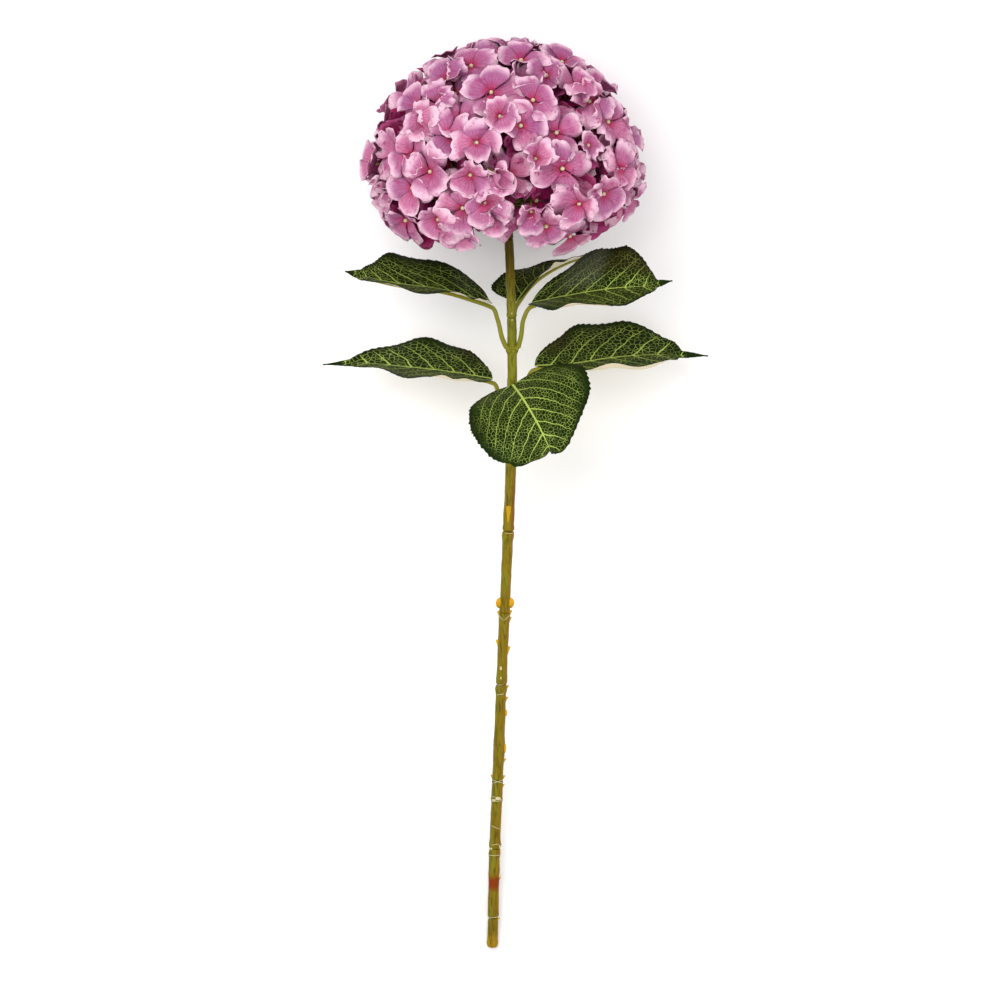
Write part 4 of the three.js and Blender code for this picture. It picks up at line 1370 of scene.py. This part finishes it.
# %% Leaf blades
def leaf_blade(name, leaf, draw):
    """A leaf blade as a thin closed shell, cream below."""
    place, direction = curve_through(leaf["midrib"])
    face_at, _ = curve_through(leaf["faces"])
    rows = TEETH * ROWS_PER_TOOTH
    length = sum((place((i + 1) / rows) - place(i / rows)).length for i in range(rows))
    columns = [-v for v in reversed(HALF_COLUMNS[1:])] + HALF_COLUMNS
    teeth = [[draw.uniform(*TOOTH_SIZES) for _ in range(TEETH)] for _ in range(2)]
    on_cloth = NET_CELL / leaf["net"]
    surface = []
    marks = {}
    for i in range(rows + 1):
        t = i / rows
        along = direction(t)
        up = face_at(t).lerp(TIP_FACE, smooth_step(*TIP_TURNS, t) * leaf["tip"])
        up = square(up, along)
        right = along.cross(up)
        ahead = direction(min(t, SWEEP_START))
        row = []
        for v in columns:
            half = 0 if v < 0 else 1
            sign = -1 if v < 0 else 1
            share = blade_width(t, leaf["bases"][half], leaf["fullness"][half])
            width = max(leaf["half_widths"][half] * share, NARROWEST)
            toothed = TOOTH_DEPTH * (tooth(t, teeth[half]) - 0.5) * min(width / FULL_TEETH, 1)
            width += toothed * smooth_step(EDGE, 1, abs(v))
            distance = abs(v) * width
            # which way this half leans, and how far it runs ahead of the rib
            fold = math.radians(mix(*leaf["folds"][half], t))
            outwards = right * sign * math.cos(fold) + up * math.sin(fold)
            sweep = math.radians(leaf["sweeps"][half]) * smooth_step(SWEEP_START, SWEEP_FULL, t)
            outwards = outwards * math.cos(sweep) + ahead * math.sin(sweep)
            upwards = up * math.cos(fold) - right * sign * math.sin(fold)
            # how far its edge curls over
            turn, line = rolled(leaf["curls"], t, v)
            over = max(abs(v) - line, 0) * width
            # the ripple of its edge, and the gutters pressed along its side veins
            ahead_of_vein = VEIN_LEAN * distance + VEIN_BEND * distance**2
            phase = (t - ahead_of_vein / length) / SIDE_VEIN_STEP
            from_vein = (phase - round(phase)) * SIDE_VEIN_STEP * length
            gutter = math.exp(-((from_vein / GUTTER_WIDTH) ** 2))
            wave = math.sin(2 * math.pi * (LEAF_WAVES * t - LEAF_WAVE_SHIFT * sign))
            lift = leaf["wave"] * v * v * wave * math.sin(math.pi * t)
            lift -= GUTTER_DEPTH * gutter * min(distance / 4, 1) * (1 - abs(v) ** 3)
            row.append(
                place(t)
                + outwards * (distance - over * (1 - math.cos(turn)))
                + upwards * over * math.sin(turn)
                + up * lift
            )
            here = {
                "on_cloth": (sign * distance * on_cloth, t * length * on_cloth, 0),
                "rib": distance / mix(*RIB_PRINT, t) + 0.85 * smooth_step(0.5, 0.9, t),
                "side_vein": phase,
                "reach": max(abs(v), smooth_step(0.78, 0.9, t)),
                "browned": patch(leaf["brown"], t, v),
                "painted_sheen": patch(leaf["painted_sheen"], t, v),
            }
            for key, value in here.items():
                marks.setdefault(key, []).append(value)
        surface.append(row)
    points, faces = shell(surface, len(columns) - 1, rows, LEAF_THICKNESS)
    marks = {key: values * 2 for key, values in marks.items()}
    points = [to_frame(above_floor(p, LEAF_ROOM)) for p in points]
    piece = make_mesh(f"blade_{name}", points, faces, marks)
    piece.data.materials.append(leaf_upper)
    piece.data.materials.append(leaf_lower)
    count = len(points) // 2
    for polygon in piece.data.polygons:
        polygon.material_index = int(sum(v >= count for v in polygon.vertices) > 2)
    finish_piece(piece, [f"leaf_{name}"])


# %% Leaf stalks
def leaf_stalk(name, leaf):
    """A leaf stalk from its foot on the stem to the blade, and on as the rib under it."""
    place, direction = curve_through(leaf["midrib"])
    face_at, _ = curve_through(leaf["faces"])
    under = []
    for i in range(RIB_STEPS + 1):
        t = leaf.get("rib_reach", RIB_REACH) * i / RIB_STEPS
        up = square(face_at(t), direction(t))
        radius = mix(STALK_RADIUS, RIB_TIP_RADIUS, i / RIB_STEPS)
        under.append((place(t) - up * (RIB_SEAT + radius), radius))
    foot_y, stem_radius = leaf["foot"]
    foot = beside(foot_y, leaf["turn"], stem_radius + GAP + STALK_RADIUS)
    root = beside(foot_y - 2, leaf["turn"], stem_radius - 1)
    # the curve runs on to a point of the rib, so that it meets the rib without a kink
    way = [foot, *[Vector(p) for p in leaf["stalk"]], under[0][0], under[RIB_STEPS // 4][0]]
    radii = [STALK_RADIUS * 1.15, STALK_RADIUS, STALK_RADIUS]
    free = sampled(way, radii, STALK_STEPS)[: STALK_STEPS * 3 // 4]
    path = [(root, STALK_RADIUS * 1.3)] + free + under[1:]
    piece = tubes(f"stalk_{name}", [path], 16, stalk_plastic)
    finish_piece(piece, [f"leaf_stalk_{name}"])


tooth_draw = random.Random(TOOTH_SEED)
for name, leaf in LEAVES.items():
    leaf_blade(name, leaf, tooth_draw)
    leaf_stalk(name, leaf)

# %% [markdown]
# ## The stem
# Each sleeve of the stem is a turned outline that follows the axis, with small lumps, rings and
# buds that stand off it. The plastic is moulded in one olive green and then painted by hand:
# orange brown down one side, a red stain near the end and dark brown under the head. The paint is
# laid in coats, as the petals' print is, and each coat may keep to a part of the stem.

# %% Stem plastic
STEM_STOPS = [  # shares of STEM_LENGTH and the ground colour there
    (0.0, "#c48a08"), (0.012, "#9a780a"), (0.03, "#6e5c08"), (0.083, "#7a6408"),
    (0.108, "#786608"), (0.25, "#756308"), (0.36, "#78640a"), (0.48, "#7c690c"),
    (0.6, "#7e6c10"), (0.69, "#7e7618"), (0.78, "#79781c"), (0.86, "#7b7a20"),
    (0.905, "#6e5c0c"), (0.93, "#5a4602"), (0.97, "#544000"), (1.0, "#564202"),
]
STEM_LENGTH = 600
STAIN_AT = 55.5  # millimetres from the cut end, less the blur
STREAKS = (260.0, 22.0, 260.0)  # streaks of about 4 by 45 mm, and finer ones of 1.5 by 22 mm
FINE_STREAKS = (700.0, 45.0, 700.0)


def painted_stem(name):
    """Moulded olive plastic, painted by hand along the stem and down its right side."""
    material, tree, shader = new_material(name, roughness=0.38, specular=0.1)
    place = add(tree, "ShaderNodeTexCoord").outputs["Object"]
    along, turn = [
        add(tree, "ShaderNodeAttribute", {"attribute_name": key}).outputs["Fac"]
        for key in ("along_stem", "to_the_right")
    ]
    # the ground colour changes along the stem, with blurred borders
    blur = add(tree, "ShaderNodeTexNoise", {}, {"Vector": place, "Scale": 130.0, "Detail": 3.0})
    share = add(tree, "ShaderNodeMath", TIMES_PLUS, {0: blur, 1: 6.0, 2: along})
    share = add(tree, "ShaderNodeMath", {"operation": "DIVIDE"}, {0: share, 1: STEM_LENGTH})
    ramp = add(tree, "ShaderNodeValToRGB", {}, {"Fac": share})
    stops = ramp.color_ramp.elements
    for at, hue in STEM_STOPS[1:-1]:
        stops.new(at).color = linear(hue)
    stops[0].color = linear(STEM_STOPS[0][1])
    stops[len(stops) - 1].color = linear(STEM_STOPS[-1][1])
    # the moulding left lengthwise streaks, coarse and fine
    streak, fine_streak = [
        add(
            tree,
            "ShaderNodeTexNoise",
            {},
            {
                "Vector": add(tree, "ShaderNodeMapping", {}, {"Vector": place, "Scale": scale}),
                "Scale": 1.0,
                "Detail": detail,
            },
        )
        for scale, detail in ((STREAKS, 3.0), (FINE_STREAKS, 2.0))
    ]
    side = add(tree, "ShaderNodeMath", TIMES_PLUS, {0: streak, 1: 0.9, 2: turn})
    from_stain = add(tree, "ShaderNodeMath", {"operation": "SUBTRACT"}, {0: along, 1: STAIN_AT})
    from_stain = add(tree, "ShaderNodeMath", TIMES_PLUS, {0: blur, 1: 5.0, 2: from_stain})
    from_stain = add(tree, "ShaderNodeMath", {"operation": "ABSOLUTE"}, {0: from_stain})
    # the rust is redder on the leaf sleeve than on the sleeves below it
    redder = add(tree, "ShaderNodeMapRange", SMOOTH, {0: along, 1: 334.0, 2: 340.0, 4: 1.0})
    rust = {0: redder, 6: linear("#8a600a"), 7: linear("#7c3a1c")}
    rust = add(tree, "ShaderNodeMix", COLOUR, rust).outputs[2]
    # each coat: what it follows, where it starts, where it is full, how strong it is there, where
    # on the stem it ends and where below that it is whole, and its colour
    coats = (
        (streak, 0.45, 0.7, 0.75, (500.0, 420.0), linear("#777a1a")),  # greener, not under the head
        (fine_streak, 0.44, 0.7, 0.8, None, linear("#4c4008")),  # darker
        (side, 0.6, 1.45, 0.72, (395.0, 372.0), rust),
        (side, 1.38, 1.54, 0.8, (230.0, 200.0), linear("#bd8c08")),  # yellow, thinly at the edge
        (from_stain, 8.5, 2.0, 0.9, None, linear("#7d2601")),  # one red stain, 10 mm long
    )
    colour = ramp.outputs["Color"]
    for follows, start, full, most, part, coat in coats:
        share = add(tree, "ShaderNodeMapRange", SMOOTH, {0: follows, 1: start, 2: full, 4: most})
        if part:
            ends, whole = part
            below = add(tree, "ShaderNodeMapRange", SMOOTH, {0: along, 1: ends, 2: whole, 4: 1.0})
            share = add(tree, "ShaderNodeMath", TIMES, {0: share, 1: below})
        colour = add(tree, "ShaderNodeMix", COLOUR, {0: share, 6: colour, 7: coat}).outputs[2]
    end_material(tree, shader, colour, streak, strength=0.5, depth=0.0008)
    return material


stem_plastic = painted_stem("painted_polyethylene_stem")

# %% Stem sleeves
SLEEVES = {
    "stem_end": [(0.2, 3.2), (1.4, 4.3), (4, 4.7), (7, 4.4), (20, 4.3), (24, 3.9)],
    "stem_sleeve_1": [
        (24.3, 3.9), (27, 4.5), (50, 4.3), (60, 4.6), (72, 4.4), (76, 4.9), (80, 4.6),
    ],
    "stem_sleeve_2": [
        (80.3, 4.7), (84, 4.9), (88, 4.4), (117, 4.4), (120, 5), (123, 4.5), (132, 4.3),
        (135, 4.7),
    ],
    "stem_sleeve_3": [
        (135.3, 4.7), (138, 4.4), (150, 4.4), (156, 4.6), (165, 4.65), (171, 4.3), (204, 4.2),
        (209, 4.9), (212.3, 4.4),
    ],
    "stem_sleeve_4": [
        (212.6, 4.2), (216, 4.5), (222, 4.2), (234, 4.1), (262, 4.4), (267, 4.6), (270, 4.9),
    ],
    "stem_sleeve_5": [(270.3, 4.7), (274, 4.2), (300, 4.2), (326, 4.3), (332, 5), (335.2, 4.8)],
    "stem_leaf_sleeve": [
        (335.5, 4.1), (337, 4.8), (339, 4.8), (341, 4.4), (380, 4.3), (412, 4.1), (416.5, 5.4),
        (418, 4.1), (440, 4), (476, 3.8), (480.5, 5.2), (482, 3.8), (506.2, 3.7),
    ],
    "stem_neck_sleeve": [(506.5, 4.1), (509, 4.1), (511, 3.7), (545, 3.6), (569, 3.6)],
    "stem_collar": [(569.3, 4), (572, 3.8), (581, 3.9), (583.2, 3.4)],
}
SLEEVE_SIDES = 28
SLEEVE_STEP = 0.9
END_ROUNDING = 0.45
SLOW_LUMPS = (0.32, 1.2, 0.09)  # their height, and how quickly they change round and along
FINE_LUMPS = (0.1, 2.5, 0.5)
ROUGHER = 0.22  # more height where the mould was rough
SLEEVE_ROOM = 0.05
LUMPY_PLACES = [(75, 85), (148, 170), (208, 226)]  # where on the stem the mould was rough
print("sleeves:", len(SLEEVES))


# %% Turning the sleeves
def bumps(way, y, quick_round, quick_along, shift=0):
    """A noise over the stem's skin, from about -0.5 to 0.5."""
    return noise.noise(Vector((way.x * quick_round, y * quick_along, way.z * quick_round + shift)))


def outline_radius(outline, y):
    """The radius of an outline at y."""
    for (ya, ra), (yb, rb) in zip(outline, outline[1:]):
        if y <= yb:
            return mix(ra, rb, smooth_step(0, 1, (y - ya) / (yb - ya)))
    return outline[-1][1]


def sleeve(name, outline):
    """One moulded sleeve, closed at both ends, with its lumps."""
    low, high = outline[0][0], outline[-1][0]
    steps = max(int((high - low) / SLEEVE_STEP), 6)
    stations = [mix(low, high, i / steps) for i in range(steps + 1)]
    rings, points, along_stem, to_the_right = [], [], [], []
    for k, y in enumerate(stations):
        radius = outline_radius(outline, y)
        if k in (0, steps):
            radius -= END_ROUNDING
        rings.append((y, radius))
    rings = [(low, 0.01), *rings, (high, 0.01)]
    for y, radius in rings:
        centre, along = axis_at(y)
        for i, p in enumerate(ring(centre, along, RIGHT, 1, SLEEVE_SIDES)):
            way = p - centre
            fine = FINE_LUMPS[0] + sum(ROUGHER for start, end in LUMPY_PLACES if start < y < end)
            lump = bumps(way, y, *SLOW_LUMPS[1:]) * SLOW_LUMPS[0]
            lump += bumps(way, y, *FINE_LUMPS[1:], shift=7) * fine
            point = centre + way * (radius + lump * min(radius / 2, 1))
            points.append(to_frame(above_floor(point, SLEEVE_ROOM)))
            along_stem.append(y)
            to_the_right.append(way.x)
    sides = SLEEVE_SIDES
    faces = []
    for r in range(len(rings) - 1):
        for i in range(sides):
            j = (i + 1) % sides
            faces.append((r * sides + i, r * sides + j, (r + 1) * sides + j, (r + 1) * sides + i))
    faces.append(tuple(reversed(range(sides))))
    faces.append(tuple(range((len(rings) - 1) * sides, len(rings) * sides)))
    marks = {"along_stem": along_stem, "to_the_right": to_the_right}
    piece = make_mesh(f"turned_{name}", points, faces, marks)
    piece.data.materials.append(stem_plastic)
    finish_piece(piece, [name])


for name, outline in SLEEVES.items():
    sleeve(name, outline)

# %% [markdown]
# ## Buds and glue
# Small moulded buds and thorn stubs sit on the sleeves, brushed yellow orange at their tips. The
# maker glued the sleeves end to end with hot glue, which left pale rings, threads and crumbs at
# the joints. Each bud or crumb is one rounded lump, and each thread is a thin tube laid on the
# stem by the tube tree.

# %% Buds, thorn stubs and crumbs
# Each lump: its place on the stem, its turn in degrees, its distance from the axis, and half its
# length, width and height.
ROUND_BUDS = [
    (278, 168, 4.3, (4.4, 1.7, 3.3)), (278, 12, 4.3, (4.4, 1.7, 3.3)),
    (189.5, 6, 4.2, (2.8, 1.4, 1.5)), (161, 4, 4.5, (4.4, 1.8, 1.3)),
    (57.5, 12, 4.4, (2.4, 1.6, 1.3)),
]
THORNS = [
    (344, 97, 3.4, (13, 2.2, 1.7)), (244, 174, 3.6, (4.8, 1.3, 2.0)),
    (238.5, 6, 3.7, (4.8, 1.3, 2.0)), (268.5, 172, 4, (3.2, 1.6, 1.9)),
    (269, 8, 4, (3.2, 1.6, 1.9)), (263.5, 4, 3.9, (3.2, 1.3, 1.7)),
    (209.5, 6, 4.2, (2.4, 1.3, 1.7)), (200, 7, 3.9, (2.6, 1.2, 1.8)),
    (150.5, 3, 4, (2.4, 1.2, 1.9)), (137.5, 174, 4.1, (2.4, 1.3, 1.6)),
    (137, 6, 4.1, (2.2, 1.3, 1.6)), (130, 6, 4, (2.2, 1.1, 1.5)), (22.5, 8, 3.6, (1.8, 1.2, 1.5)),
]
GLUE_CRUMBS = [
    (510, 88, 3.9, (0.7, 0.6, 0.35)), (504.8, 84, 3.9, (0.7, 0.6, 0.35)),
    (226, 104, 4.0, (1.6, 1.0, 0.4)), (218, 96, 4.2, (1.2, 0.8, 0.4)),
    (121.2, 78, 4.75, (1.4, 2.2, 0.5)), (119.6, 118, 4.75, (0.9, 1.6, 0.45)),
    (82, 34, 4.7, (1.3, 1.0, 0.6)), (80.6, 128, 4.7, (1.0, 1.0, 0.5)),
    (58.5, 22, 4.9, (1.7, 1.1, 0.8)),
]
LUMP_ROWS = 8
LUMP_SIDES = 12
LUMP_END = 0.04  # how thin a rounded lump ends
THORN_START = 0.1  # the same at the pointed end of a thorn, as a share of its other end
THORN_LEAN = 0.3  # how far a thorn's tip stands off, as a share of its height
LUMP_ROOM = 0.2
print("buds, thorn stubs and crumbs:", len(ROUND_BUDS), len(THORNS), len(GLUE_CRUMBS))


# %% Making the buds
def lumps(name, places, lean, thorny, finish):
    """Small lumps on the stem as one mesh: rounded, or thorns that end flat towards the head."""
    points, faces, tips = [], [], []
    for y, turn, off, (length, width, height) in places:
        centre, along = axis_at(y)
        out = (beside(y, turn, 1) - centre).normalized()
        side = along.cross(out)
        first = len(points)
        for i in range(LUMP_ROWS + 1):
            angle = math.pi * i / LUMP_ROWS
            on = -math.cos(angle)
            girth = max(math.sin(angle), LUMP_END)
            if thorny and 0 < i < LUMP_ROWS:
                girth = mix(THORN_START, 1, (0.5 + 0.5 * on) ** 0.9)
            middle = centre + out * (off + height * lean * on) + along * length * on
            for j in range(LUMP_SIDES):
                a = 2 * math.pi * j / LUMP_SIDES
                round_it = side * width * math.cos(a) + out * height * math.sin(a)
                points.append(to_frame(above_floor(middle + round_it * girth, LUMP_ROOM)))
                tips.append(0.5 + 0.5 * on)
        for i in range(LUMP_ROWS):
            for j in range(LUMP_SIDES):
                a, b = [first + i * LUMP_SIDES + k % LUMP_SIDES for k in (j, j + 1)]
                faces.append((a, a + LUMP_SIDES, b + LUMP_SIDES, b))
        faces.append(tuple(range(first, first + LUMP_SIDES)))
        last = first + LUMP_ROWS * LUMP_SIDES
        faces.append(tuple(reversed(range(last, last + LUMP_SIDES))))
    piece = make_mesh(name, points, faces, {"tip": tips})
    piece.data.materials.append(finish)
    finish_piece(piece)


def brushed_buds(name, low, high):
    """Moulded polyethylene, brushed with paint that thickens towards the tips."""
    material, tree, shader = new_material(name, roughness=0.4, specular=0.1)
    tip = add(tree, "ShaderNodeAttribute", {"attribute_name": "tip"}).outputs["Fac"]
    place = add(tree, "ShaderNodeTexCoord").outputs["Object"]
    blur = add(tree, "ShaderNodeTexNoise", {}, {"Vector": place, "Scale": 250.0, "Detail": 2.0})
    share = add(tree, "ShaderNodeMath", TIMES_PLUS_CLAMPED, {0: blur, 1: 0.7, 2: tip})
    paint = add(tree, "ShaderNodeMapRange", SMOOTH, {0: share, 1: 0.35, 2: 0.95, 4: 1.0})
    mixed = {0: paint, 6: linear(low), 7: linear(high)}
    colour = add(tree, "ShaderNodeMix", COLOUR, mixed).outputs[2]
    tree.links.new(colour, shader.inputs["Base Color"])
    return material


bud_finish = brushed_buds("brushed_polyethylene_buds", "#9a7c0c", "#cf9410")
thorn_finish = brushed_buds("brushed_polyethylene_thorns", "#7a6a10", "#b98f10")
lumps("stem_buds", ROUND_BUDS, 0, False, bud_finish)
lumps("stem_thorns", THORNS, THORN_LEAN, True, thorn_finish)

# %% Glue
hot_glue = moulded_plastic("hot_melt_glue", "#a89e62", "#d9d2ac", 500.0, 0.3)
GLUE_RADIUS = 0.25
THREAD_STEPS = 12
THREAD_LIFT = 0.22  # the thread's middle above the stem
# each thread: where it starts and ends on the stem, and its turns there, in degrees
GLUE_THREADS = [
    (136.2, 150, 133.4, 30), (133.2, 150, 136.4, 28), (99.4, 138, 95.8, 28), (75.2, 165, 75.4, 25),
    (122.8, 150, 121.8, 60), (118.8, 160, 119.4, 30), (120.6, 165, 120.4, 15),
    (24.1, 170, 25.6, 15), (83.6, 120, 84.6, 60), (84.6, 60, 80.5, 25), (212.4, 140, 212.9, 70),
    (204.5, 140, 205.5, 60), (268.8, 155, 264.6, 98), (264.6, 90, 268.8, 30),
    (334.6, 120, 334.2, 40),
]


def stem_radius(y):
    """The radius of the sleeve that is at y."""
    outline = next(outline for outline in SLEEVES.values() if y <= outline[-1][0])
    return outline_radius(outline, max(y, outline[0][0]))


def thread(y_start, turn_start, y_end, turn_end):
    """A thread of glue laid over the stem, thinner at its ends."""
    path = []
    for i in range(THREAD_STEPS + 1):
        share = i / THREAD_STEPS
        y = mix(y_start, y_end, share)
        thickness = GLUE_RADIUS * (0.55 + 0.45 * math.sin(math.pi * share) ** 0.5)
        point = beside(y, mix(turn_start, turn_end, share), stem_radius(y) + THREAD_LIFT)
        path.append((point, thickness))
    return path


threads = tubes("glue_threads", [thread(*places) for places in GLUE_THREADS], 6, hot_glue)
finish_piece(threads)
lumps("glue_crumbs", GLUE_CRUMBS, 0, False, hot_glue)

# %% [markdown]
# ## Wire and floor
# The wire inside the stem keeps its solid and gets plain drawn steel, with the fine lines that the
# die left along it. The floor is a matt white board.

# %% Wire and floor
DRAWN_LINES = (3000.0, 40.0, 3000.0)  # lines of about 0.3 by 25 mm

steel, steel_tree, steel_shader = new_material("drawn_steel_wire", roughness=0.35, specular=0.5)
steel_shader.inputs["Metallic"].default_value = 1.0
steel_place = add(steel_tree, "ShaderNodeTexCoord").outputs["Object"]
drawn = add(steel_tree, "ShaderNodeMapping", {}, {"Vector": steel_place, "Scale": DRAWN_LINES})
lines = add(steel_tree, "ShaderNodeTexNoise", {}, {"Vector": drawn, "Scale": 1.0})
steel_mix = {0: lines, 6: linear("#8f8f8c"), 7: linear("#b4b4b0")}
steel_colour = add(steel_tree, "ShaderNodeMix", COLOUR, steel_mix).outputs[2]
steel_tree.links.new(steel_colour, steel_shader.inputs["Base Color"])
wire = frame["nodes"]["stem_wire"]
wire.data.materials.clear()
wire.data.materials.append(steel)

board, _, board_shader = new_material("matt_white_board", roughness=0.9, specular=0.2)
board_shader.inputs["Base Color"].default_value = linear("#fafafa")
floor.data.materials.append(board)
